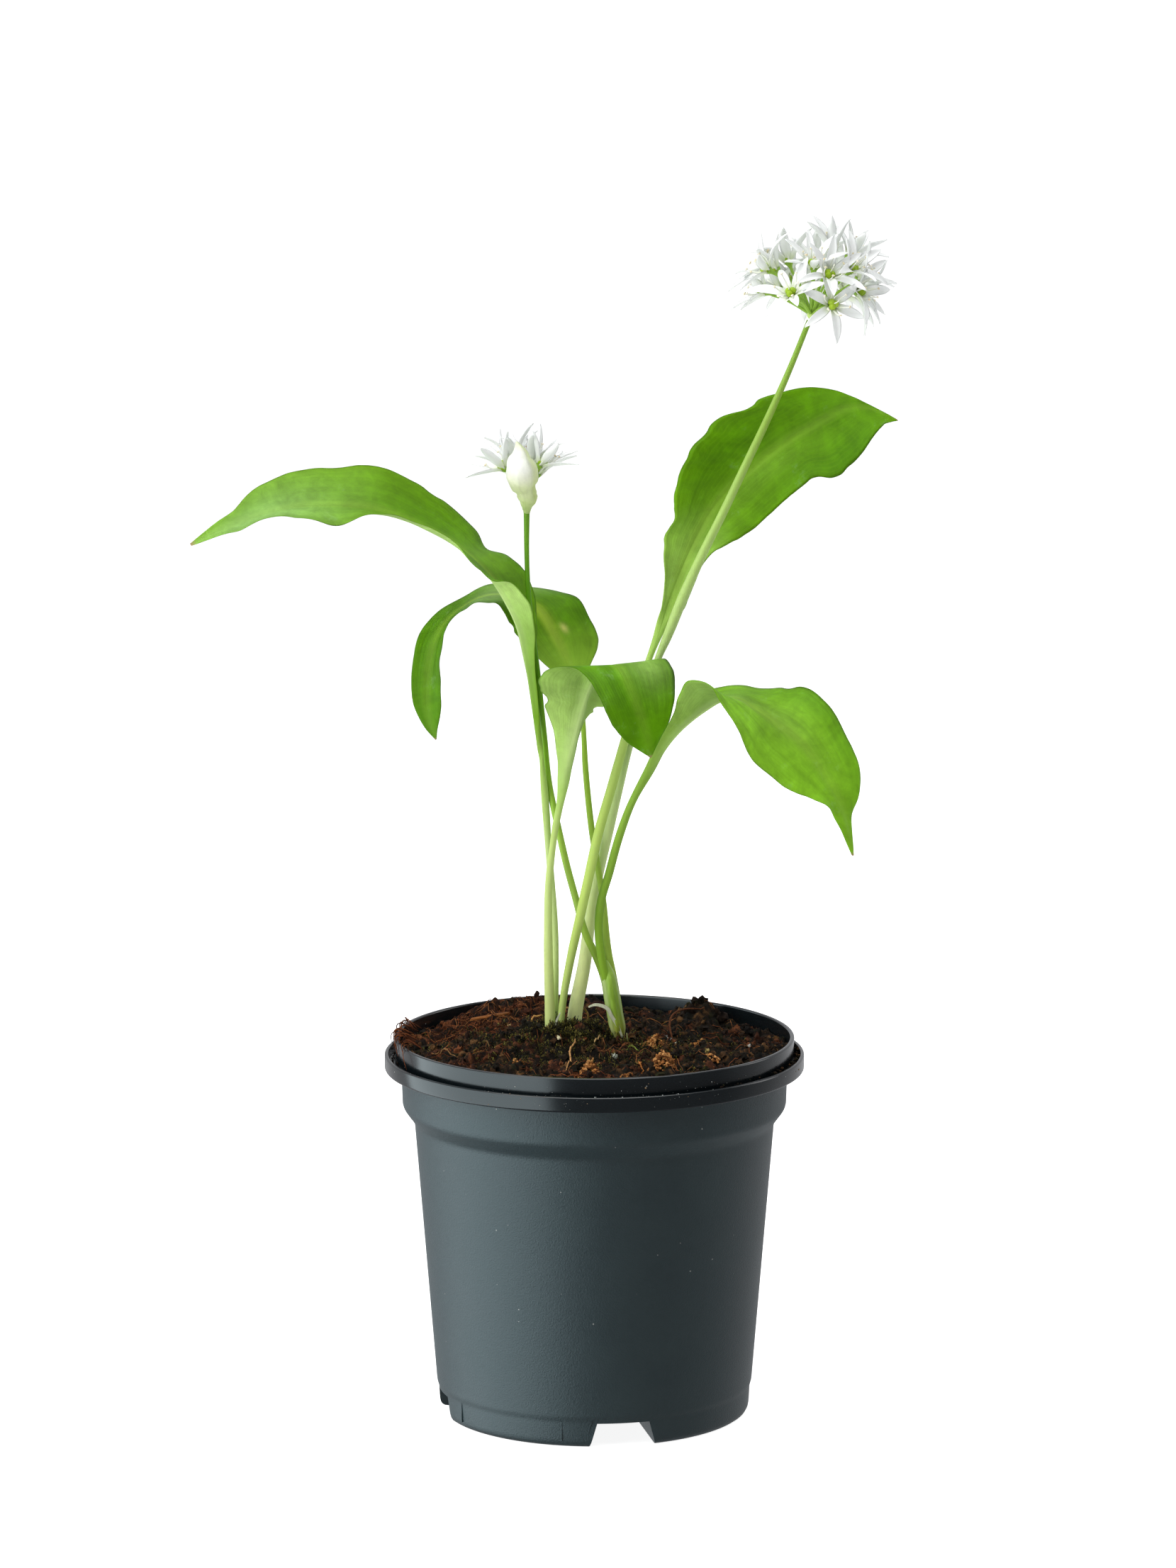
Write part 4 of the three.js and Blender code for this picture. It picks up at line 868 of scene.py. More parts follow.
LEAVES = {
    "leaf_left": {
        "upper_side": 1,
        "stalk_colors": ["#cbdd92", "#c5d98a", "#cfe09c", "#a9c76a", "#6f9b22"],
        "pale_until": 0.2,
        "upper": ["#6a9e06", "#5d9300", "#6a9e06", "#74a618", "#7aac28"],
        "under": ["#a8ca70", "#a2c468", "#a2c468", "#9dc062"],
        "folds": 0.35,
        # Tones: painted shade across the middle, where the blade slopes away from the light, a painted
        # highlight towards the tip, and a lighter patch nearer the stalk.
        "tones_and_painted_light": [(0, 8.3, 1, 2.2, "#467a00", 0.5), (-0.3, 13.5, 1, 2.4, "#9cc084", 0.5),
                  (0.5, 5, 0.5, 1.5, "#86b03c", 0.4)],
        "nicks": [(1, 8.4, 0.8, 0.25), (-1, 9.3, 0.6, 0.3)],
        "stalk": [
            [-11.2, -6, 101, 1],
            [-11.2, -6, 115.5, 1],
            [-11.3, -3, 141, 1],
            [-13, -4.8, 165, 0.95],
            [-14.5, -9.3, 187, 0.85],
        ],
        "blade": [
            [-16.5, -9.6, 204, 1, -1.2, 0, -0.4, 1.7, 0],
            [-18.7, -9.8, 219, 2, -2.2, 0.3, 1.5, 4.6, -0.6],
            [-21.5, -9, 230, 4.8, -3.8, 0, 5.3, 6, 0],
            [-24.5, -9, 236.3, 6.2, -5.5, 0.8, 7.5, 9, 1],
            [-27.5, -9.5, 241.5, 4.5, -7, 1.2, 8, 12, 2],
            [-31, -10, 246, 2.3, -8.6, -2.2, 6.4, 14.5, 1.8],
            [-35, -11, 250, 2.7, -7, -2.8, 4.6, 15.5, -0.5],
            [-40.5, -12, 254.3, 2.5, -5.5, -0.8, 6.8, 15.8, 0.8],
            [-47, -13.5, 258, 1.5, -6.8, 1, 5, 15.4, 5],
            [-53.5, -15, 261, 0.6, -9, 1.4, 2.2, 14.8, 8.4],
            [-61.5, -16.5, 263.8, 0, -9.7, 0, 0.6, 12.8, 10.4],
            [-71, -18, 265.2, -0.1, -10, -4.1, -0.8, 12, 9.2],
            [-81, -19.5, 265.1, -0.6, -9.2, -2.2, -2.7, 10.4, 8.5],
            [-90, -21, 263.7, -1, -7, -0.8, -4, 8, 6.2],
            [-98.6, -22.5, 261.1, -0.3, -4.5, -1.9, -2.2, 3.8, 2.8],
            [-105.7, -24, 258.2, 0.3, -2, -0.9, -0.8, 1.6, 2],
            [-112.6, -25, 255, 0.2, -0.2, -0.3, -0.2, 0.2, 0.3],
        ],
    },
    "leaf_back": {
        "upper_side": 1,
        "stalk_colors": ["#b3c96c", "#a5c050", "#9cbc4c", "#94b840", "#8cb438"],
        "pale_until": 0.2,
        "upper": ["#5e9003", "#588a02", "#548802", "#528600"],
        "under": ["#a4c668", "#a6c86c", "#86ae40", "#5c8e0c", "#568a06"],
        "folds": 0.45,
        # Tones: a yellow streak with a fleck, a painted sheen at the top of the arch, and darker margins.
        "tones_and_painted_light": [(0, 3, 0.16, 4, "#b0bc34", 0.55), (0.2, 6.3, 1.4, 1.1, "#9cc26c", 0.75),
                  (0.3, 2.6, 0.07, 0.22, "#e0d680", 0.85), (1, 3, 0.25, 4, "#3f6e00", 0.5),
                  (-1, 3, 0.25, 4, "#3f6e00", 0.5)],
        "nicks": [(-1, 3.2, 0.7, 0.2)],
        "stalk": [
            [7.3, -6, 101, 1.1],
            [7.3, -6, 115, 1.1],
            [5.1, -5, 128.9, 1.1],
            [4, -4.2, 134.6, 1.05],
            [2.4, -3.9, 150, 0.95],
            [-1, -3.5, 172, 0.9],
            [-2.5, -1, 187, 0.85],
            [-3.4, 3, 201, 0.85],
        ],
        "blade": [
            [-5.4, 7, 211.3, -1.8, -1, -0.4, 2.2, 1, -0.2],
            [-7.8, 9, 216.5, -4.8, -3, -1.8, 6.9, 3, -1.2],
            [-10.6, 11, 222, -8.2, -4, -1.5, 11.7, 6, -0.6],
            [-13.6, 13, 227.1, -9.4, -5.2, -1.6, 12.3, 7, 0.2],
            [-17, 15, 231.2, -8.6, -7, -0.8, 12, 8.2, 1.5],
            [-21.2, 16, 233.8, -6, -8.8, -0.9, 10.2, 10, 0.7],
            [-26.5, 16.5, 234.6, -3.7, -9.4, -1.1, 6.6, 10.4, 1],
            [-32.2, 16.5, 233.8, -2.2, -8.5, -0.5, 2.6, 9.2, 2.5],
            [-37.7, 16, 230.9, -0.2, -7, 0.3, 0.3, 7, 2],
            [-42.6, 15, 226.6, 1.3, -6, 0.9, -2.1, 5, 2.5],
            [-45.5, 14, 221.4, 2.3, -5.4, 1.3, -4.3, 3.2, 1.8],
            [-47, 13, 215.5, 3.2, -4.8, 0.9, -4.7, 2, 0.7],
            [-47.8, 12, 209, 4.1, -4, 1.1, -4.5, 1.5, -0.8],
            [-47.8, 11.5, 202.5, 4.2, -3.3, 1.2, -3.5, 1, -0.2],
            [-46.7, 11, 197.3, 2, -1.8, 0.3, -1.9, 0.6, -0.3],
            [-45.3, 11, 193.5, 0.3, -0.1, 0.2, -0.3, 0.1, 0.2],
        ],
    },
    "leaf_centre": {
        "upper_side": -1,
        "stalk_colors": ["#d4e28c", "#cedd8c", "#c6d98a", "#bcd27c", "#a4c666"],
        "pale_until": 0.45,
        "upper": ["#5c9006", "#5e9210", "#568a04", "#548802"],
        "under": ["#a8ca70", "#94bc56", "#88b04a", "#84ac44"],
        "folds": 0.55,
        # Tones: a painted highlight on the far half at the top of the arch, and painted shade in a groove on
        # the near half.
        "tones_and_painted_light": [(0.55, 7.6, 0.4, 1.5, "#a4cc68", 0.6), (-0.4, 9, 0.3, 2, "#4a8000", 0.5)],
        "nicks": [(-1, 3.4, 1.6, 0.22), (-1, 4.3, -0.6, 0.3), (1, 3.1, -1.4, 0.3), (1, 3.7, 1.6, 0.25),
                  (1, 1.6, -0.7, 0.3), (1, 2.2, 0.5, 0.25)],
        "stalk": [
            [-12.7, -9, 101, 1.5],
            [-12.6, -9, 115.5, 1.5],
            [-13.1, -9, 137.5, 1.25],
            [-12.8, -10.5, 157.3, 1.05],
            [-11.1, -13, 172, 0.95],
        ],
        "blade": [
            [-8.8, -14.5, 183.5, -1.6, 0.5, 0, 1, 0.5, 0],
            [-7.5, -15, 190.3, -3.2, 1.3, 1.1, 1, 2.5, -0.4],
            [-5.8, -15, 197.8, -5.8, 1.4, 2.3, 1.2, 4, -1],
            [-3.9, -15, 205, -10, 1, 2, 2, 5.5, -0.8],
            [-1.7, -15, 212, -13.6, 0.1, 1.4, 4.4, 6.6, -6.2],
            [0.7, -16, 217, -14.6, -0.6, 0.5, 7.6, 8.3, -6],
            [3.5, -18, 219.5, -13.1, -1.6, 0, 11.6, 9.4, -2.8],
            [5.8, -20.5, 220.2, -11.1, -2.4, -0.8, 13.5, 9.2, 0.4],
            [7.7, -23.5, 218.4, -9, -2.8, -1.8, 14.1, 8.2, 0.4],
            [9.6, -25.5, 214.6, -8.1, -3.5, -2.2, 13, 7, 0.5],
            [11.8, -27, 209.8, -8.3, -3.8, -1.7, 10.6, 6, 0.6],
            [13.6, -28, 205, -7.8, -3, -1.1, 7.6, 4.4, 0.4],
            [15, -28.5, 200.1, -5.6, -1.9, -0.3, 3.7, 2.4, 0.6],
            [15.7, -29, 195.4, -0.3, -0.1, 0.2, 0.3, 0.1, 0.2],
        ],
    },
    "leaf_right": {
        "upper_side": -1,
        "stalk_colors": ["#94b03c", "#86ae30", "#82aa34", "#84aa3a", "#86ac40"],
        "pale_until": 0.3,
        "upper": ["#78ac24", "#7eb42a", "#7cb226", "#78b01e"],
        "under": ["#98bc5c", "#8ab150", "#8ab150"],
        "folds": 0.5,
        "tones_and_painted_light": [(0.1, 8.5, 0.25, 3, "#94bc4c", 0.4), (0.9, 11, 0.3, 3, "#5c9a0c", 0.5)],
        "nicks": [(1, 9.2, 0.7, 0.3)],
        "stalk": [
            [5.9, -9.4, 101, 1.1],
            [5.8, -9.4, 114, 1.1],
            [3.7, -9.4, 126, 1.15],
            [2, -9.5, 134.6, 1.2],
            [1.2, -9.5, 142.7, 1.2],
            [1.9, -10, 150.8, 1.2],
            [4.1, -10.5, 158.7, 1.2],
            [6.9, -11.5, 169.3, 1.2],
            [10.7, -13, 180, 1.15],
        ],
        "blade": [
            [14.9, -14, 188.3, -1.1, -0.5, 0.6, 1, 1.2, -0.7],
            [19.3, -15, 195.8, -1.8, -1.5, 1.5, 1, 2.7, -0.5],
            [23.6, -16, 201, -3.3, -2.5, 1.5, -0.2, 5, 0.8],
            [28, -16.5, 205, -5.5, -3.4, 2.3, -0.7, 7, 1.6],
            [31.8, -17, 207.7, -8, -4.2, 4.6, -1.4, 8.6, 2.3],
            [35, -17.5, 209.6, -8.6, -5.6, 6.7, -1.8, 10.5, 2],
            [37.8, -18, 210.5, -6, -7.9, 5.3, -0.9, 12.2, 1.6],
            [40.9, -18.5, 210, -5.8, -9.4, 1.6, 0.7, 13.4, 2.1],
            [44.5, -19, 208, -7.2, -10, 0, 2.8, 13.8, 3.3],
            [48.9, -19.5, 205.3, -8.5, -10.4, -2.7, 5, 13.3, 6.5],
            [53.2, -20, 202.1, -9.5, -9.9, -6.5, 6.8, 12, 9.4],
            [57.6, -20.5, 198.5, -7.9, -8.6, -8.8, 8.4, 10.6, 8.6],
            [61.4, -21, 193.8, -6.2, -7, -8, 9, 8.9, 5.8],
            [65, -21.5, 188.2, -4.5, -5.4, -4.6, 9.4, 6.6, 3.1],
            [68.2, -22, 182.6, -2.9, -3.5, -2, 6.5, 4.2, 0.5],
            [70.4, -22.5, 176.9, -2.5, -2.1, -0.3, 2.2, 2.4, 0.5],
            [71.9, -23, 171.3, -1.6, -1, 0, 0.8, 1, 0],
            [72.7, -23.2, 166.4, -0.3, -0.1, 0.1, 0.3, 0.1, 0.1],
        ],
    },
    "leaf_tall": {
        "upper_side": 1,
        "stalk_colors": ["#c2d684", "#b8d06c", "#b2cc66", "#b8d272", "#a8cc64"],
        "pale_until": 0.42,
        "upper": ["#86b03a", "#6ea012", "#639803", "#609602", "#649804"],
        "under": ["#8eb650", "#86b048", "#86b048"],
        "folds": 0.3,
        "tones_and_painted_light": [(-0.55, 8.3, 0.4, 2, "#477c00", 0.5), (0.85, 10.6, 0.35, 1.6, "#447800", 0.55),
                  (0, 3.5, 1, 2.2, "#94bc50", 0.45), (0.2, 8, 0.3, 2, "#86b23c", 0.35)],
        "nicks": [(1, 9.45, 0.9, 0.3), (1, 10.2, -1, 0.35), (-1, 9.5, -1.6, 0.4), (-1, 10.3, 1.2, 0.3),
                  (-1, 10.9, -0.6, 0.3), (-1, 8.4, -0.7, 0.3), (-1, 5.8, 0.7, 0.3), (-1, 4.9, -0.5, 0.35)],
        "stalk": [
            [-9.6, -9, 101, 1],
            [-9.6, -9, 115.4, 1],
            [-6.8, -10, 133.8, 1.2],
            [-4.1, -12, 146.5, 1.35],
            [-1.4, -12.5, 159.1, 1.4],
            [1.3, -11.5, 171.3, 1.4],
            [4.8, -9.3, 183.2, 1.4],
            [8.2, -6.8, 195.1, 1.3],
            [11.9, -5.9, 208.1, 1.1],
            [15.2, -3.6, 218.6, 0.9],
        ],
        "blade": [
            [17.4, -1.4, 224.2, -1, -0.4, 0.3, 1, -0.2, -0.4],
            [19.3, 1.2, 229.8, -1.3, -0.8, 0.5, 1.9, -0.4, -1],
            [21.3, 2.6, 235.3, -1.9, -1.3, 1, 3.5, -1, -3.3],
            [23, 3.6, 239.6, -3.3, -1.6, 2.7, 3.8, -1.1, -3.5],
            [25.8, 5, 246.1, -6.3, -2.5, 2.2, 4.6, -2, -1.5],
            [28.9, 6.5, 252.5, -8.2, -3.4, 1.5, 5.3, -3.1, -3.5],
            [33, 8, 259.6, -10.8, -4, 0.2, 5.9, -4.6, -8.2],
            [39.2, 9.5, 266.8, -16.2, -4.5, 0.8, 5.7, -6, -11.6],
            [46.9, 11, 273.4, -20.8, -4.4, 1.6, 5.1, -7.3, -11.6],
            [53.9, 11.5, 278.6, -21.9, -3, 3.6, 5.4, -7.6, -10.6],
            [60.1, 11, 282.7, -20.2, -1, 5.2, 6.6, -7.4, -12.1],
            [65.8, 9.5, 286.4, -16.5, 1.3, 5.7, 7.6, -6.5, -11.8],
            [71.2, 7.5, 289.2, -11.9, 2.8, 5.6, 7, -5, -8.5],
            [76.3, 5, 289.9, -8, 3, 4.3, 5.2, -3, -4.8],
            [81.2, 2.5, 288.6, -4.5, 2.3, 2.2, 2.5, -1.2, -2.5],
            [85.3, 1, 286.8, -0.4, 0.2, 0.3, 0.2, -0.1, -0.3],
        ],
    },
}


def leaf_skin(name, rib_color, rib_share, vein_color, vein_share, fold_shade_depth, roughness):
    """Leaf skin: a thin waxy green with fine veins side by side, a paler midrib and a dry tip; light comes
    through. Its cells are drawn ten times their real size, so that their grain shows."""
    material, tree = empty_material(name)
    place = node(tree, "TexCoord").outputs["Object"]
    tint = node(tree, "Attribute", attribute_name="tint")
    across, from_rib, along, folded = (
        node(tree, "Attribute", attribute_name=carried).outputs["Fac"]
        for carried in ("across", "from_rib", "along", "folded"))
    blade = node(tree, "MapRange", {"From Min": 1, "From Max": 1.15}, {"Value": along})
    before_tip = node(tree, "MapRange", {"From Min": 1.7, "From Max": 1.9, "To Min": 1, "To Max": 0},
                      {"Value": along})
    open_blade = node(tree, "Math", links={0: blade, 1: before_tip}, operation="MULTIPLY")

    # The veins, side by side and slightly wandering, from the stalk to just before the tip.
    blotches = node(tree, "TexNoise", {"Scale": 1 / (BLOTCH_SIZE * MM), "Detail": 3, "Roughness": 0.55},
                    {"Vector": place})
    wander = node(tree, "Math", {1: 0.06}, {0: blotches}, operation="MULTIPLY")
    straight = node(tree, "Math", links={0: across, 1: wander}, operation="ADD")
    phase = node(tree, "Math", {1: VEINS_A_SIDE}, {0: straight}, operation="MULTIPLY")
    gap = node(tree, "Math", {1: 0.5}, {0: phase}, operation="PINGPONG")
    line = node(tree, "MapRange", {"From Min": 0, "From Max": 0.3, "To Min": 1, "To Max": 0}, {"Value": gap},
                interpolation_type="SMOOTHSTEP")
    vein = node(tree, "Math", links={0: line, 1: open_blade}, operation="MULTIPLY")

    # The streaks along the blade, where it was folded in the bud: painted shade in the grooves and painted
    # light on the ridges, as darker and lighter bands of its colour, with the same pattern as relief in the
    # bump.
    strip = node(tree, "CombineXYZ", links={0: across, 1: along})
    long_strip = node(tree, "VectorMath", {1: (STREAKS_ACROSS, STREAKS_ALONG, 1)}, {0: strip},
                      operation="MULTIPLY")
    shift = node(tree, "VectorMath", {1: (12, 12, 12)}, {0: place}, operation="MULTIPLY")
    strip_place = node(tree, "VectorMath", links={0: long_strip, 1: shift}, operation="ADD")
    streaks = node(tree, "TexNoise", {"Scale": 1, "Detail": 4, "Roughness": 0.55}, {"Vector": strip_place})
    band = node(tree, "MapRange", {"From Min": 0.36, "From Max": 0.64, "To Min": -fold_shade_depth, "To Max": fold_shade_depth},
                {"Value": streaks})
    fold = node(tree, "Math", links={0: folded, 1: open_blade}, operation="MULTIPLY")
    fold_light_and_shade = node(tree, "Math", {2: 1}, {0: band, 1: fold}, operation="MULTIPLY_ADD")

    # The mottling of the blade, fine and wide, and its greyish bloom: pale patches, partly the wax's own bloom
    # and partly a painted sheen of light off it.
    mottle = node(tree, "TexNoise",
                  {"Scale": 1 / (MOTTLE_SIZE * MM), "Detail": 5, "Roughness": 0.7, "Distortion": 0.6},
                  {"Vector": place})
    fine_shade = node(tree, "MapRange", {"From Min": 0.3, "From Max": 0.7, "To Min": 0.85, "To Max": 1.15},
                      {"Value": mottle})
    patches = node(tree, "TexNoise",
                   {"Scale": 1 / (PATCH_SIZE * MM), "Detail": 4, "Roughness": 0.6, "Distortion": 0.8},
                   {"Vector": place})
    wide_shade = node(tree, "MapRange", {"From Min": 0.35, "From Max": 0.65, "To Min": 0.78, "To Max": 1.14},
                      {"Value": patches})
    patchy = node(tree, "Math", links={0: fine_shade, 1: wide_shade}, operation="MULTIPLY")
    shade = node(tree, "Mix", {2: 1}, {0: blade, 3: patchy})
    both = node(tree, "Math", links={0: shade, 1: fold_light_and_shade}, operation="MULTIPLY")
    flat_green = node(tree, "VectorMath", links={0: tint, "Scale": both}, operation="SCALE")
    waxy = node(tree, "TexNoise", {"Scale": 1 / (BLOOM_AND_SHEEN_SIZE * MM), "Detail": 6, "Roughness": 0.75},
                {"Vector": place})
    bloom_and_sheen = node(tree, "MapRange", {"From Min": 0.6, "From Max": 0.72, "To Min": 0, "To Max": 0.22},
                 {"Value": waxy})

    # The midrib, a line with a soft band beside it that fades towards the tip, and the tip, which is dry.
    rib_line = node(tree, "MapRange", {"From Min": 0.25, "From Max": 0.8, "To Min": rib_share, "To Max": 0},
                    {"Value": from_rib}, interpolation_type="SMOOTHSTEP")
    rib_band = node(tree, "MapRange", {"From Min": 0.3, "From Max": 2.6, "To Min": 0.45, "To Max": 0},
                    {"Value": from_rib}, interpolation_type="SMOOTHSTEP")
    rib = node(tree, "Math", links={0: rib_line, 1: rib_band}, operation="MAXIMUM")
    rib_fades = node(tree, "MapRange", {"From Min": 1.1, "From Max": 1.95, "To Min": 1, "To Max": 0.25},
                     {"Value": along})
    rib_blade = node(tree, "Math", links={0: rib, 1: rib_fades}, operation="MULTIPLY")
    rib_amount = node(tree, "Math", links={0: rib_blade, 1: blade}, operation="MULTIPLY")
    dry = node(tree, "MapRange", {"From Min": 1.985, "From Max": 1.999}, {"Value": along})

    # The bloom with its painted sheen, the veins, the midrib and the dry tip, each laid over the green in turn.
    vein_amount = node(tree, "Math", {1: vein_share}, {0: vein}, operation="MULTIPLY")
    color = flat_green
    for tone, amount in ((BLOOM_AND_SHEEN_COLOR, bloom_and_sheen), (vein_color, vein_amount), (rib_color, rib_amount),
                         (DRY_TIP_COLOR, dry)):
        color = node(tree, "Mix", {7: linear(tone)}, {0: amount, 6: color}, data_type="RGBA").outputs[2]

    # The relief: sunk veins, the cells, the crinkle of the mottling and the folds.
    cells = node(tree, "TexNoise", {"Scale": 1 / (CELL_SIZE * MM), "Detail": 3, "Roughness": 0.7},
                 {"Vector": place})
    sunk = node(tree, "Math", {1: -0.3}, {0: vein}, operation="MULTIPLY")
    grainy = node(tree, "Math", {1: 0.35}, {0: cells, 2: sunk}, operation="MULTIPLY_ADD")
    crinkled = node(tree, "Math", {1: 3}, {0: mottle, 2: grainy}, operation="MULTIPLY_ADD")
    fold_depth = node(tree, "Math", {1: 8}, {0: fold}, operation="MULTIPLY")
    height = node(tree, "Math", links={0: streaks, 1: fold_depth, 2: crinkled}, operation="MULTIPLY_ADD")
    bump = node(tree, "Bump", {"Strength": 0.5, "Distance": 0.12 * MM}, {"Height": height})
    end_in_tissue(tree, color, roughness, 0.12, 0.22, bump)
    return material


LEAF_UPPER = leaf_skin("leaf_upper_skin", "#93b640", 0.45, "#7aa81e", 0.12, 0.3, 0.46)
LEAF_UNDER = leaf_skin("leaf_under_skin", "#bdd68c", 0.85, "#74a432", 0.14, 0.1, 0.55)


def smooth_rows(rows, steps):
    """A smooth run through rows of numbers, whose first three are a place in space."""
    rows = np.array(rows, float)
    reach = np.linalg.norm(np.diff(rows[:, :3], axis=0), axis=1)
    secant = np.diff(rows, axis=0) / reach[:, None]
    slope = np.concatenate([secant[:1], secant])
    for i in range(1, len(rows) - 1):
        slope[i] = (secant[i - 1] * reach[i] + secant[i] * reach[i - 1]) / (reach[i] + reach[i - 1])
    run = []
    for i, gap in enumerate(reach):
        for t in np.arange(steps) / steps:
            run.append((2 * t ** 3 - 3 * t ** 2 + 1) * rows[i] + (3 * t ** 2 - 2 * t ** 3) * rows[i + 1]
                       + (t ** 3 - 2 * t ** 2 + t) * gap * slope[i] + (t ** 3 - t ** 2) * gap * slope[i + 1])
    return np.array(run + [rows[-1]])


def unit(vectors):
    """The vectors of an array at length 1."""
    return vectors / np.maximum(np.linalg.norm(vectors, axis=-1, keepdims=True), 1e-9)


def bell(away, reach):
    """A rounded bump: 1 where away is 0, fading out past the reach."""
    return np.exp(-(away / reach) ** 2)


def give_numbers(piece, name, values):
    """Gives each point of a piece a number that its material reads."""
    attribute = piece.data.attributes.new(name, "FLOAT", "POINT")
    attribute.data.foreach_set("value", np.array(values, float).reshape(-1))


def blend_colors(colors, share):
    """The linear colour at a share, from 0 to 1, of the way along a list of hex colours."""
    place = min(max(share, 0), 1) * (len(colors) - 1)
    i = min(int(place), len(colors) - 2)
    return toned(np.array(linear(colors[i])), colors[i + 1], place - i)


def toned(color, tone, amount):
    """A linear colour brought an amount of the way to a hex colour."""
    return color + (np.array(linear(tone)) - color) * amount


def drawn_in(edge, side, arc, blade_row, seed, nicks):
    """An edge, as it lies from the midrib, drawn in where it is ragged, and at its nicks: each a side, a
    blade row, a depth and a half length in rows."""
    wide = np.linalg.norm(edge, axis=1)
    ragged = [noise.noise(Vector((s * 0.2, side * 5, seed)))
              + 0.3 * noise.noise(Vector((s * 0.6, side, seed))) for s in arc]
    cut = RAGGED * np.array(ragged) * np.clip(wide / 8, 0, 1)
    for nick_side, row, depth, half in nicks:
        if nick_side == side:
            cut = cut + depth * np.exp(-np.abs((blade_row - row) / half) ** 3)
    return edge * (1 - cut / np.maximum(wide, 1))[:, None]


def blade_sheet(middle, near, far, across, flat, along, arc, seed):
    """The middle surface of a leaf, curved from the midrib to its edges and ruffled, and where it faces."""
    side = unit(far - near)[:, None, :]
    edge = np.where(across[:, :, None] < 0, near[:, None, :], far[:, None, :])
    start = side * np.sign(across)[:, :, None] * np.linalg.norm(edge, axis=2, keepdims=True)
    share = np.abs(across)[:, :, None]
    sheet = middle[:, None, :] + (edge + start) / 2 * share * (1 - share) + edge * share ** 2
    normal = unit(np.cross(np.gradient(sheet, axis=1), np.gradient(sheet, axis=0)))
    wave = np.array([[noise.noise(Vector((arc[i] * 0.13, 3.1 * np.sign(s), seed))) * abs(s) ** 3
                      + 0.35 * noise.noise(Vector((arc[i] * 0.07, s * 1.6, seed + 9)))
                      for s in across[i]] for i in range(len(arc))])
    ends = np.clip((2 - along) / 0.12, 0, 1)[:, None]
    return sheet + normal * (RUFFLE * wave * flat * ends)[:, :, None], normal


def leaf_points(rows, rows_of_blade, name, upper_side, nicks):
    """The rings of a leaf, its upper face first; how far along each ring lies, how far across and off the
    midrib each column does; and each ring's place among the blade's rows."""
    run = smooth_rows(rows, LEAF_STEPS)
    middle, near, far, radius, along = run[:, :3], run[:, 3:6], run[:, 6:9], run[:, 9], run[:, 10]
    spread = np.linalg.norm(far - near, axis=1) / 2
    arc = np.concatenate([[0], np.cumsum(np.linalg.norm(np.diff(middle, axis=0), axis=1))])
    seed = len(name) + 7 * upper_side
    blade_row = (along - 1) * (rows_of_blade - 1)
    near = drawn_in(near, -1, arc, blade_row, seed, nicks)
    far = drawn_in(far, 1, arc, blade_row, seed, nicks)

    flat = np.clip((spread / radius - 1.02) / 2.2, 0, 1)
    flat = np.maximum.accumulate((flat * flat * (3 - 2 * flat) * (along > 0.8))[:, None])
    even = np.linspace(-1, 1, LEAF_COLUMNS)[None, :]
    across = (1 - flat) * np.sin(math.pi / 2 * even) + flat * np.sign(even) * np.abs(even) ** 1.35
    sheet, normal = blade_sheet(middle, near, far, across, flat, along, arc, seed)

    off_rib = np.abs(across) * spread[:, None]
    keel = KEEL_HEIGHT * np.clip(2.05 - along, 0.1, 1)[:, None] * bell(off_rib, KEEL_REACH)
    groove = GROOVE_DEPTH * np.clip(2 - along, 0, 1)[:, None] * bell(off_rib, GROOVE_REACH)
    thickness = BLADE_HALF_THICKNESS * np.sqrt(np.clip(1 - across ** 8, 0, 1))
    thin_tip = np.clip((2 - along) / 0.02, 0.3, 1)[:, None]
    stalk = (1 - flat) * radius[:, None] * np.sqrt(np.clip(1 - across ** 2, 0, 1))
    above = stalk + flat * (thickness - groove) * thin_tip
    below = stalk + flat * (thickness + keel) * thin_tip
    upper_face = sheet + normal * upper_side * above[:, :, None]
    under_face = sheet - normal * upper_side * below[:, :, None]
    rings = np.concatenate([upper_face, under_face[:, -2:0:-1]], axis=1)
    return rings, along, across, off_rib, blade_row


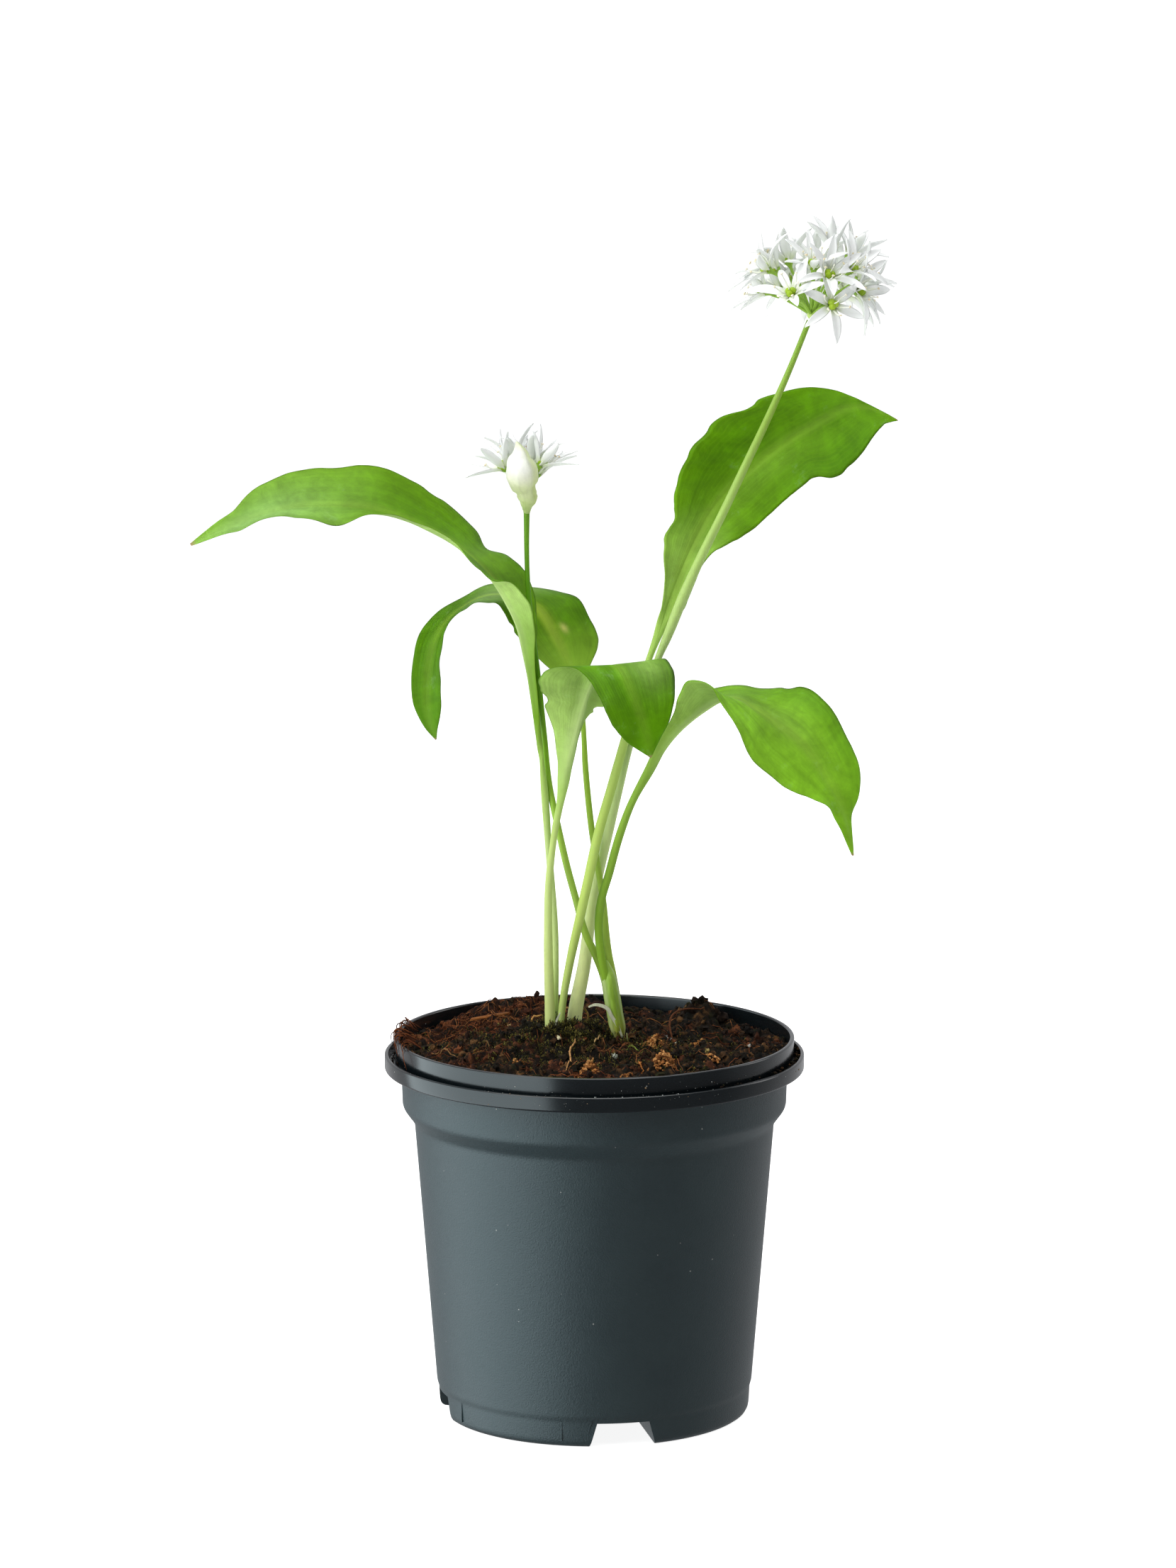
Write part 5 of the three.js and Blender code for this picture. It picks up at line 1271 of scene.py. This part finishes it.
def make_leaf(name, upper_side, stalk_colors, pale_until, upper, under, folds, tones_and_painted_light, nicks, stalk, blade):
    """A leaf as one closed skin. A stalk row is a place and a radius; a blade row is a place on the midrib,
    then where the two edges lie from it. A tone on the upper face is a place across, a blade row, its reach
    across and along, a colour and a share of it; some tones are the leaf's own colour, others painted shade and
    painted highlights."""
    rows = [[x, y, z, -r, 0, 0, r, 0, 0, r, i / len(stalk)] for i, (x, y, z, r) in enumerate(stalk)]
    rows += [row + [stalk[-1][3], 1 + i / (len(blade) - 1)] for i, row in enumerate(blade)]
    rings, along, across, off_rib, blade_row = leaf_points(rows, len(blade), name, upper_side, nicks)
    leaf = mesh_piece(name + "_blade", *skin(rings), LEAF_UPPER)
    leaf.data.materials.append(LEAF_UNDER)
    size = len(RING_COLUMNS)
    for polygon in leaf.data.polygons:
        around = [v % size for v in polygon.vertices]
        closes_ring = 0 in around and size - 1 in around
        polygon.material_index = 0 if min(around) < LEAF_COLUMNS - 1 and not closes_ring else 1
    tints = []
    for i, reached in enumerate(along):
        stalk_color = blend_colors(stalk_colors, reached)
        greened = float(np.clip((reached - 1) / pale_until, 0, 1)) ** 1.5
        for k, column in enumerate(RING_COLUMNS):
            on_top = k < LEAF_COLUMNS
            color = blend_colors(upper if on_top else under, reached - 1)
            # Tones on the upper face: the leaf's own marks, and painted shade and highlights.
            for place, row, wide, long, tone, amount in tones_and_painted_light if on_top else []:
                here = bell(across[i, column] - place, wide) * bell(blade_row[i] - row, long)
                color = toned(color, tone, amount * here)
            tints.append(stalk_color + (color - stalk_color) * greened)
    tint_points(leaf, tints)
    give_numbers(leaf, "folded", np.full(len(tints), folds))
    give_numbers(leaf, "across", across[:, RING_COLUMNS])
    give_numbers(leaf, "along", np.repeat(along, size))
    give_numbers(leaf, "from_rib", off_rib[:, RING_COLUMNS])
    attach(leaf, "root")
    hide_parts(name)


for name, leaf in LEAVES.items():
    make_leaf(name, **leaf)

# The flowering stems: each one leafless, solid and smooth, pale where it was covered and greener in the light,
# drawn up out of the bulb between the leaves; the tall one's foot is made paler still by painted light.
STEM_SIDES = 24
STEM_STEPS = 8
STEM_STREAK = 0.4545
STEMS = {
    "scape_tall": {
        # Its lowest colours: pale as a stem blanched in the peat, and paler still as painted light where the
        # peat and leaves shade its foot.
        "colors": ["#f0f4b4", "#dce6a0", "#bccf88", "#a4bb78", "#a3bc70", "#98b560", "#84a442", "#7b9f30"],
        "path": [
            [-5.7, -3.2, 101, 2.1],
            [-5.7, -3.2, 114.8, 2.1],
            [-2.7, -1, 131.7, 1.85],
            [-1.2, 0, 144.1, 1.6],
            [1.1, -0.5, 156.7, 1.5],
            [4, -1.5, 169.5, 1.45],
            [6.8, -3, 182, 1.35],
            [9.8, -4, 194.6, 1.25],
            [14.2, -3.4, 208.2, 1.1],
            [18.4, -4.5, 220.6, 1],
            [20.4, -4.4, 225.4, 1.3],
            [24.7, -3, 236.1, 1.5],
            [29.8, -1.7, 247.5, 1.3],
            [36.3, -1, 260.7, 1.22],
            [42.5, -0.5, 273.9, 1.15],
            [48.8, 0, 287.3, 1.05],
            [54.7, 0, 300.8, 0.85],
            [60.3, 0, 314.9, 0.75],
        ],
    },
    "scape_small": {
        "colors": ["#b4cc60", "#8cb02c", "#98b848", "#8cb03c", "#72a01e", "#5c9012", "#548810", "#629020"],
        "path": [
            [6, -6.5, 101, 1.1],
            [5.9, -6.5, 114, 1.1],
            [3.9, -6.2, 123, 1.1],
            [2.3, -6, 129.2, 1.1],
            [0.2, -5.8, 134.6, 1.1],
            [-2.1, -5.5, 139.4, 1.05],
            [-5.5, -6, 151.4, 1],
            [-7.8, -7, 160.3, 1],
            [-10.4, -7.7, 172.1, 0.95],
            [-12.7, -7.2, 183.3, 0.9],
            [-14.3, -7, 198.6, 0.85],
            [-16, -8.2, 215.8, 0.8],
            [-17.7, -7.2, 229.8, 0.75],
            [-18.7, -5.3, 239.7, 0.7],
            [-19.1, -3.6, 250.6, 0.7],
            [-19.1, -3, 260.6, 0.85],
            [-19.1, -3.2, 263, 0.9],
        ],
    },
}


def stem_skin():
    """Stem skin: smooth and a little waxy, with fine streaks that run up it."""
    material, tree = empty_material("stem_skin")
    stretched = node(tree, "VectorMath", {1: (1, 1, 0.06)}, {0: node(tree, "TexCoord").outputs["Object"]},
                     operation="MULTIPLY")
    streaks = node(tree, "TexNoise", {"Scale": 1 / (STEM_STREAK * MM), "Detail": 2, "Roughness": 0.6},
                   {"Vector": stretched})
    bump = node(tree, "Bump", {"Strength": 0.4, "Distance": 0.08 * MM}, {"Height": streaks})
    shader = node(tree, "BsdfPrincipled", {
        "Roughness": 0.42,
        "Specular IOR Level": 0.28,
        "Subsurface Weight": 0.15,
        "Subsurface Radius": (0.8, 1, 0.3),
        "Subsurface Scale": 1 * MM,
    }, {"Base Color": shaded_tint(tree, streaks, 0.94, 1.06), "Normal": bump})
    node(tree, "OutputMaterial", links={"Surface": shader})
    return material


STEM_SKIN = stem_skin()


def stem_rings(path, sides, steps):
    """Round rings along a smooth path of places and radii."""
    run = smooth_rows(path, steps)
    along = unit(np.gradient(run[:, :3], axis=0))
    right = unit(np.cross(np.cross(along, (1, 0, 0)), along))
    back = np.cross(along, right)
    turns = 2 * math.pi * np.arange(sides) / sides
    rings = []
    for i, row in enumerate(run):
        out = np.cos(turns)[:, None] * right[i] + np.sin(turns)[:, None] * back[i]
        rings.append(row[:3] + row[3] * out)
    return rings


def make_stem(name, colors, path):
    """A stem along its path of places and radii, its colours spread evenly over its height."""
    rings = stem_rings(path, STEM_SIDES, STEM_STEPS)
    stem = mesh_piece(name + "_stem", *skin(rings), STEM_SKIN)
    low, high = path[0][2], path[-1][2]
    tint_points(stem, [blend_colors(colors, (p[2] - low) / (high - low)) for ring in rings for p in ring])
    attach(stem, "root")
    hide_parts(name)


for name, stem in STEMS.items():
    make_stem(name, **stem)

# The sheaths: at the foot of each clump the oldest leaf bases, thin as paper once dry, wrap what grows up
# through them. The right clump's is still green, split at its top; scraps of the others curl off.
CLUMP_SHEATH = [
    [3.3, -7.4, 133, 0.5, 1],
    [3.8, -7.7, 129.5, 2.0, 1.3],
    [4.6, -8.2, 125.1, 2.3, 1.62],
    [5.2, -8.4, 121.3, 2.33, 1.68],
    [5.9, -8.4, 117.5, 2.33, 1.68],
    [6.6, -8.4, 113.7, 2.27, 1.65],
    [6.9, -8.4, 111.2, 1.7, 1.7],
    [7, -8.4, 106, 1.4, 1.7],
]
SHEATH_COLORS = ["#a89a3c", "#9cae3c", "#8fb236", "#8cb236", "#92b840", "#98bc4a"]
SHEATH_FOOT = 110
SHEATH_TOP = 133
SHEATH_SIDES = 48
SHEATH_RIB = 0.7692
SCRAPS = [
    ("#dfe3c4", 0.55, [(8, -11.6, 111.5), (6.7, -12.1, 114.8), (4.9, -12.4, 117.9), (3.6, -12.6, 120.2),
                       (1.9, -12.9, 121.1), (0, -13.3, 121.4), (-1.7, -13.4, 120.8)]),
    ("#e6ead0", 0.3, [(-11.2, -11.2, 114.6), (-10.6, -11, 116.7), (-9.7, -10.8, 118.6)]),
    ("#c9d08c", 0.25, [(9.2, -9.4, 107), (9.4, -10, 109.6), (9.2, -10.3, 112.6)]),
]
SCRAP_SECTION = [(-1, 0.25), (-0.5, 0.02), (0, -0.06), (0.5, 0.02), (1, 0.25), (0.5, -0.12), (0, -0.2),
                 (-0.5, -0.12)]


def dry_sheath():
    """A leaf base drying to paper: pale, thin enough to glow, ribbed along by its veins."""
    material, tree = empty_material("dry_sheath")
    stretched = node(tree, "VectorMath", {1: (1, 1, 0.1)}, {0: node(tree, "TexCoord").outputs["Object"]},
                     operation="MULTIPLY")
    ribs = node(tree, "TexNoise", {"Scale": 1 / (SHEATH_RIB * MM), "Detail": 3, "Roughness": 0.6},
                {"Vector": stretched})
    bump = node(tree, "Bump", {"Strength": 0.5, "Distance": 0.15 * MM}, {"Height": ribs})
    end_in_tissue(tree, shaded_tint(tree, ribs, 0.85, 1.12), 0.45, 0.35, 0.25, bump)
    return material


def add_clump_sheath(sheaths):
    """The green sheath: two creases run up its front, its flanks are pale, and its foot is rusty in front."""
    rings, colors = [], []
    for x, y, z, half, deep in smooth_rows(CLUMP_SHEATH, 6):
        ring = []
        for turn in 2 * math.pi * np.arange(SHEATH_SIDES) / SHEATH_SIDES:
            crease = 1 - 0.1 * bell(turn - 4.35, 0.12) - 0.06 * bell(turn - 5.3, 0.1)
            crease += 0.05 * noise.noise(Vector((z * 0.25, 3 * math.cos(turn), 3 * math.sin(turn))))
            ring.append((x + half * crease * math.cos(turn), y + half * deep * crease * math.sin(turn), z))
            color = blend_colors(SHEATH_COLORS, (z - SHEATH_FOOT) / (SHEATH_TOP - SHEATH_FOOT))
            color = toned(color, "#cfdda0", 0.6 * bell(turn - 3.85, 0.4) + 0.45 * bell(turn - 5.9, 0.22))
            rusty = min(1, max(0, (SHEATH_FOOT + 2.5 - z) / 1.5))
            colors.append(toned(color, "#a8622c", 0.8 * bell(turn - 5, 0.7) * rusty))
        rings.append(ring)
    sheaths.add(*skin(rings), colors)


def make_sheaths():
    """The green sheath round the right clump, and the curled scraps: each a colour, a half width, a route."""
    sheaths = Bits()
    add_clump_sheath(sheaths)
    for color, half_width, route in SCRAPS:
        rings = []
        run = smooth_rows([[*place, half_width] for place in route], 6)
        along = unit(np.gradient(run[:, :3], axis=0))
        for i, row in enumerate(run):
            side = unit(np.cross(along[i], (0.2, -1, 0.1)))
            front = np.cross(side, along[i])
            half = row[3] * (0.35 + 0.65 * math.sin(math.pi * (0.1 + 0.85 * i / (len(run) - 1))))
            rings.append([row[:3] + half * (a * side + b * front) for a, b in SCRAP_SECTION])
        sheaths.add(*skin(rings), linear(color))
    sheaths.piece("leaf_sheaths", dry_sheath())


make_sheaths()

# The flowers: loose heads on thin green stalks that spring from the stem's end. Each flower is six white
# tepals with six stamens round a three-lobed green ovary, all soft tissue held by its own sap.
TEPAL_HALF_THICKNESS = 0.11
TEPAL_CURL = 0.35
TEPAL_ROOT = 0.9
TEPAL_COLUMNS = 9
TEPAL_ROWS = 15
TEPAL_CRUMPLE = 0.35
TEPAL_WHITE = "#f4f6f5"
TEPAL_FOOT = "#dde8bc"
PETAL_CELL = 0.3846
FILAMENT_RADIUS = 0.32
FILAMENT_SIDES = 6
FILAMENT_STEPS = 2
FILAMENT_COLOR = "#eef0e6"
ANTHER_RADIUS = 0.28
ANTHER_COLORS = ["#f3eedc", "#f1ecdc", "#ece5c8", "#e6dab8"]
OVARY_REACH = 1.65
OVARY_COLORS = ["#8fae1c", "#86a616", "#9ab82c"]
STYLE = [[0, 0, 2, 0.2], [0.1, 0, 3.6, 0.16], [0.2, 0.1, 5.4, 0.14]]
STYLE_COLOR = "#eef0e0"
FLOWER_STALK_SIDES = 10
FLOWER_STALK_STEPS = 5
FLOWER_STALK_COLOR = "#85a93c"
KNOB_COLOR = "#b5cf74"
UP = Vector((0, 0, 1))
random_flowers = random.Random(5)
HEADS = {
    "umbel_tall": {
        "hub": (61, 0, 316.6),
        "knob": 1.35,
        "tepal": (11.5, 1.85),
        "flowers": [
            {"stalk": (-70, 16), "reach": 15.5, "face": (-70, 18), "spin": 24, "spread": 76, "size": 0.84},
            {"stalk": (-114, 26), "reach": 16.4, "face": (-118, 44), "spin": 11, "spread": 62, "size": 0.95},
            {"stalk": (-162, 45), "reach": 18.4, "face": (-174, 30), "spin": 18, "spread": 50, "size": 1.08},
            {"stalk": (176, 26), "reach": 14.5, "face": (-176, 24), "spin": 20, "spread": 44, "curl": 0.5},
            {"stalk": (168, 51), "reach": 16.1, "face": (175, 42), "spin": 6, "spread": 38},
            {"stalk": (134, 57), "reach": 16.7, "face": (130, 60), "spin": 8, "spread": 34},
            {"stalk": (-90, 61), "reach": 16.3, "face": (-90, 62), "spin": 8, "spread": 40},
            {"stalk": (-69, 45), "reach": 16.8, "face": (-69, 45), "spin": 6, "spread": 46},
            {"stalk": (10, 72), "reach": 18.3, "face": (100, 85), "spin": 1, "spread": 14},
            {"stalk": (11, 57), "reach": 19.2, "face": (10, 52), "spin": 56, "spread": 30},
            {"stalk": (-4, 38), "reach": 16.5, "face": (-5, 35), "spin": 51, "spread": 34},
            {"stalk": (-29, 27), "reach": 16, "face": (-25, 14), "spin": 26, "spread": 52},
            {"stalk": (17, 24), "reach": 14.6, "face": (-8, -12), "spin": 10, "spread": 38},
            {"stalk": (-37, 45), "reach": 18.8, "face": (-37, 42), "spin": 34, "spread": 40},
            {"stalk": (59, 30), "reach": 17.4, "face": (59, 30), "spin": 34, "spread": 52},
            {"stalk": (84, 48), "reach": 16.6, "face": (84, 50), "spin": 59, "spread": 40},
            {"stalk": (114, 32), "reach": 15.5, "face": (114, 36), "spin": 28, "spread": 50},
            {"stalk": (56, 14), "reach": 17.4, "face": (56, 26), "spin": 49, "spread": 58},
            {"stalk": (91, 20), "reach": 16, "face": (91, 28), "spin": 7, "spread": 56},
            {"stalk": (134, 25), "reach": 14, "face": (138, 28), "spin": 23, "spread": 54},
        ],
    },
    "umbel_small": {
        "hub": (-19.2, -1.2, 262),
        "knob": 1.2,
        "tepal": (12.2, 1.65),
        "flowers": [
            {"stalk": (158, 59), "reach": 12.8, "face": (178, 45), "spin": 0, "spread": 44, "curl": 0.2},
            {"stalk": (116, 58), "reach": 14, "face": (130, 70), "spin": 58, "spread": 26},
            {"stalk": (83, 57), "reach": 12.8, "face": (70, 74), "spin": 0, "spread": 26},
            {"stalk": (47, 65), "reach": 12.9, "face": (5, 52), "spin": 0, "spread": 38, "size": 0.92,
             "curl": 0.2},
            {"stalk": (109, 35), "reach": 13.6, "face": (120, 60), "spin": 53, "spread": 34},
            {"stalk": (74, 37), "reach": 13.6, "face": (52, 62), "spin": 23, "spread": 30},
        ],
    },
}


def petal_skin():
    """Tepal skin: thin white tissue, slightly glistening, its cells drawn coarse enough to show; light comes
    through it evenly, past the cells."""
    material, tree = empty_material("petal_skin")
    tint = node(tree, "Attribute", attribute_name="tint")
    cells = node(tree, "TexNoise", {"Scale": 1 / (PETAL_CELL * MM), "Detail": 2, "Roughness": 0.6},
                 {"Vector": node(tree, "TexCoord").outputs["Object"]})
    bump = node(tree, "Bump", {"Strength": 0.35, "Distance": 0.06 * MM}, {"Height": cells})
    surface = node(tree, "BsdfPrincipled", {"Roughness": 0.45, "Specular IOR Level": 0.4},
                   {"Base Color": tint, "Normal": bump})
    glow = node(tree, "BsdfTranslucent", links={"Color": tint})
    node(tree, "OutputMaterial", links={"Surface": node(tree, "MixShader", {0: 0.22}, {1: surface, 2: glow})})
    return material


PETAL_SKIN = petal_skin()


def direction(azimuth, rise):
    """A direction: its azimuth, 0 to the right and -90 to the front, and its rise above level, in degrees."""
    turn, lift = math.radians(azimuth), math.radians(rise)
    return Vector((math.cos(lift) * math.cos(turn), math.cos(lift) * math.sin(turn), math.sin(lift)))


def placed(points, turn, move):
    """Points in a flower's own frame, taken to where the flower is."""
    matrix = np.array(turn.to_matrix())
    return np.asarray(points, float) @ matrix.T + np.array(move)


def tepal_rings(lean, azimuth, length, breadth, curl, twist, seed):
    """A tepal, along +Z and leaning outwards: widest at its middle, hollowed, blunt and a bit crumpled."""
    rings = []
    out = np.array((math.cos(azimuth), math.sin(azimuth), 0))
    left = np.array((-math.sin(azimuth), math.cos(azimuth), 0))
    up = np.array(UP)
    across = np.linspace(-1, 1, TEPAL_COLUMNS)[:, None]
    for i in range(TEPAL_ROWS):
        t = 1 - (1 - i / (TEPAL_ROWS - 1)) ** 1.4
        angle = lean + curl * t
        width = breadth * max(0.34 * (1 - t) ** 2 + 2.15 * t ** 0.85 * (1 - t) ** 0.76, 0.08)
        middle = (TEPAL_ROOT + length * t * math.sin(angle)) * out + length * t * math.cos(angle) * up
        inward = -math.cos(angle) * out + math.sin(angle) * up
        sideways = math.cos(twist * t) * left + math.sin(twist * t) * inward
        facing = math.cos(twist * t) * inward - math.sin(twist * t) * left
        crumple = np.array([[noise.noise(Vector((2.6 * t, 0.9 * float(s), seed)))] for s in across[:, 0]])
        fold = 0.5 * across ** 2 * width + TEPAL_CRUMPLE * t * crumple
        sheet = middle + across * width * sideways + fold * facing
        thick = TEPAL_HALF_THICKNESS * np.sqrt(np.clip(1 - across ** 4, 0, 1)) * (1.3 - 0.4 * t)
        upper, under = sheet + thick * facing, sheet - thick * facing
        rings.append(np.concatenate([upper, under[-2:0:-1]]))
    return rings


def ball_rings(shape, count, sides):
    """Rings of a ball whose radius shape(turn, rise) gives, from its foot to its crown."""
    rings = []
    for i in range(count):
        rise = math.radians(-84 + 168 * i / (count - 1))
        turns = [2 * math.pi * k / sides for k in range(sides)]
        rings.append(np.array([shape(turn, rise) * direction(math.degrees(turn), math.degrees(rise))
                               for turn in turns]))
    return rings


def three_lobes(turn, rise):
    """The radius of an ovary, round in three lobes."""
    return OVARY_REACH * (0.6 + 0.42 * abs(math.cos(1.5 * turn)) ** 0.5 * math.cos(rise) ** 0.6)


def add_stamen(stamens, azimuth, tilt, length, turn, place):
    """A stamen: a bowed filament, with a wide anther across its tip."""
    out = Vector((math.cos(azimuth), math.sin(azimuth), 0))
    route = [out * (1.1 + length * t * math.sin(tilt) + 0.5 * math.sin(math.pi * t))
             + UP * (0.1 + length * t * math.cos(tilt)) for t in (0, 0.25, 0.5, 0.75, 1)]
    path = [[*point, FILAMENT_RADIUS - 0.05 * k] for k, point in enumerate(route)]
    filament = stem_rings(path, FILAMENT_SIDES, FILAMENT_STEPS)
    stamens.add(*skin([placed(ring, turn, place) for ring in filament]), linear(FILAMENT_COLOR))
    across = (route[-1] - route[-2]).normalized().cross(UP)
    across = across.normalized() if across.length > 0.1 else Vector((1, 0, 0))
    stretch = np.eye(3) + 0.9 * np.outer(across, across)
    anther = [placed(ring @ stretch + np.array(route[-1]), turn, place)
              for ring in ball_rings(lambda azimuth, rise: ANTHER_RADIUS, 5, 6)]
    stamens.add(*skin(anther), linear(random_flowers.choice(ANTHER_COLORS)))


def make_flower(hub, tepal, petals, greens, stamens, stalk, reach, face, spin, spread, size=1, curl=1):
    """A flower at the end of its stalk: its six tepals and stamens, its ovary and style, and the stalk."""
    turn = UP.rotation_difference(direction(*face)) @ Quaternion(UP, math.radians(spin))
    place = Vector(hub) + direction(*stalk) * reach
    for i in range(6):
        azimuth = (i + 0.5) * math.pi / 3
        lean = math.radians(spread + (6 if i % 2 else -6) + random_flowers.uniform(-4, 4))
        length = size * tepal[0] * random_flowers.uniform(0.9, 1.04)
        breadth = tepal[1] * random_flowers.uniform(0.86, 1.06)
        bend = curl * TEPAL_CURL * random_flowers.uniform(0.2, 1.5)
        twist = random_flowers.uniform(-0.4, 0.4)
        rings = tepal_rings(lean, azimuth, length, breadth, bend, twist, random_flowers.uniform(0, 60))
        colors = []
        for row, ring in enumerate(rings):
            share = min(1, (row / (TEPAL_ROWS - 1)) / 0.22)
            colors += [toned(np.array(linear(TEPAL_FOOT)), TEPAL_WHITE, share)] * len(ring)
        petals.add(*skin([placed(ring, turn, place) for ring in rings]), colors)
        tilt = math.radians(min(spread * 0.5, 32) + random_flowers.uniform(-8, 8))
        add_stamen(stamens, azimuth, tilt, random_flowers.uniform(4.6, 5.8), turn, place)

    ovary = [placed(ring + 1.1 * np.array(UP), turn, place) for ring in ball_rings(three_lobes, 9, 36)]
    greens.add(*skin(ovary), linear(random_flowers.choice(OVARY_COLORS)))
    style = stem_rings(STYLE, FILAMENT_SIDES, FILAMENT_STEPS)
    stamens.add(*skin([placed(ring, turn, place) for ring in style]), linear(STYLE_COLOR))
    neck = place - direction(*face) * 1.4
    bend = Vector(hub).lerp(place, 0.55) + 0.04 * reach * UP
    below_neck = neck - direction(*face) * 1.2
    path = [[*hub, 0.5], [*bend, 0.42], [*below_neck, 0.42], [*neck, 0.55], [*place, 1.35]]
    greens.add(*skin(stem_rings(path, FLOWER_STALK_SIDES, FLOWER_STALK_STEPS)), linear(FLOWER_STALK_COLOR))


def make_head(name, hub, knob, tepal, flowers):
    """A flower head: a knob on the stem's end, and its flowers. Their tepals, green parts and stamens are one
    piece each."""
    petals, greens, stamens = Bits(), Bits(), Bits()
    ball = [ring + np.array(hub) for ring in ball_rings(lambda turn, rise: knob, 9, 14)]
    greens.add(*skin(ball), linear(KNOB_COLOR))
    for flower in flowers:
        make_flower(hub, tepal, petals, greens, stamens, **flower)
    for bits, part, material in ((petals, "tepals", PETAL_SKIN), (greens, "stalks_and_ovaries", STEM_SKIN),
                                 (stamens, "stamens", PETAL_SKIN)):
        piece = bits.piece(name + "_" + part, material)
        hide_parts(name)


for name, head in HEADS.items():
    make_head(name, **head)

# The spathe: the papery hood that wrapped the small head's buds, split and left standing at its front on the
# stem's end, cream above and greener towards its neck, with faint darker veins.
SPATHE_PATH = [
    [-19.1, -3, 260.9, 0.92],
    [-19, -3.2, 262, 1.15],
    [-19, -3.5, 263.3, 1.84],
    [-18.8, -3.8, 264.9, 2.6],
    [-18.9, -4.1, 265.9, 2.85],
    [-19.3, -4.6, 267.4, 2.91],
    [-19.9, -5, 269, 3.75],
    [-20.2, -5.8, 271.6, 4.5],
    [-20.6, -6.2, 274.1, 4.3],
    [-21, -6.2, 276.3, 3.5],
    [-21, -5.9, 278.3, 2.27],
    [-21.4, -5.5, 280, 1.15],
    [-21.9, -5.2, 281.4, 0.2],
]
SPATHE_FOOT = SPATHE_PATH[0][2]
SPATHE_NECK = 267.4
SPATHE_TOP = SPATHE_PATH[-1][2]
SPATHE_SIDES = 96
SPATHE_STEPS = 7
SPATHE_CRUMPLE = 3.333
SPATHE_COLORS = [
    "#bcd682", "#d2e2a0", "#dce6b4", "#e0e8bc", "#f0f2de", "#fafaf6", "#fcfcfa", "#f6f7ee", "#e6ebc8"]
SPATHE_FOLD = "#c2cf8a"


def papery_spathe():
    """A bract like tracing paper: creamy, crumpled, greenish where it is doubled, lit from within."""
    material, tree = empty_material("papery_spathe")
    crumple = node(tree, "TexNoise",
                   {"Scale": 1 / (SPATHE_CRUMPLE * MM), "Detail": 5, "Roughness": 0.65, "Distortion": 0.3},
                   {"Vector": node(tree, "TexCoord").outputs["Object"]})
    bump = node(tree, "Bump", {"Strength": 0.8, "Distance": 0.35 * MM}, {"Height": crumple})
    end_in_tissue(tree, shaded_tint(tree, crumple, 0.86, 1.08), 0.35, 0.4, 0.3, bump)
    return material


def make_spathe():
    """The hood, pleated and creased at its neck, dented all over, with a greener fold down its right side."""
    rings = stem_rings(SPATHE_PATH, SPATHE_SIDES, SPATHE_STEPS)
    colors = []
    for ring in rings:
        middle = ring.mean(axis=0)
        for k, p in enumerate(ring):
            turn = 2 * math.pi * k / SPATHE_SIDES
            high = p[2]
            pleats = 0.05 * bell(high - SPATHE_NECK + 1.6, 2.2) * math.sin(9 * turn + 2 * math.sin(2 * turn))
            dents = 0.06 * noise.noise(Vector(p) * 0.3) + 0.015 * noise.noise(Vector(p) * 1.1)
            creases = 0.1 * bell(turn - 5.6, 0.16) + 0.05 * bell(turn - 4.3, 0.12)
            tied = SPATHE_NECK - 1 + 0.5 * math.sin(2 * turn)
            creases += 0.09 * bell(high - tied, 0.5) + 0.03 * bell(high - tied + 1.6, 0.4)
            hold = min(1, max(0, (high - SPATHE_FOOT - 0.6) / 1.5))
            p[:] = middle + (p - middle) * (1 + hold * (pleats + dents - creases))
            color = blend_colors(SPATHE_COLORS, (p[2] - SPATHE_FOOT) / (SPATHE_TOP - SPATHE_FOOT))
            color = toned(color, SPATHE_FOLD, 0.75 * bell(math.remainder(turn + 0.35, 2 * math.pi), 0.55))
            colors.append(color * (1 - 0.08 * max(0, math.cos(7 * turn)) ** 6))
    spathe = mesh_piece("spathe_hood", *skin(rings), papery_spathe())
    tint_points(spathe, colors)
    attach(spathe, "root")
    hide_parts("spathe_small")


make_spathe()

for mesh in bpy.data.meshes:
    mesh.validate()
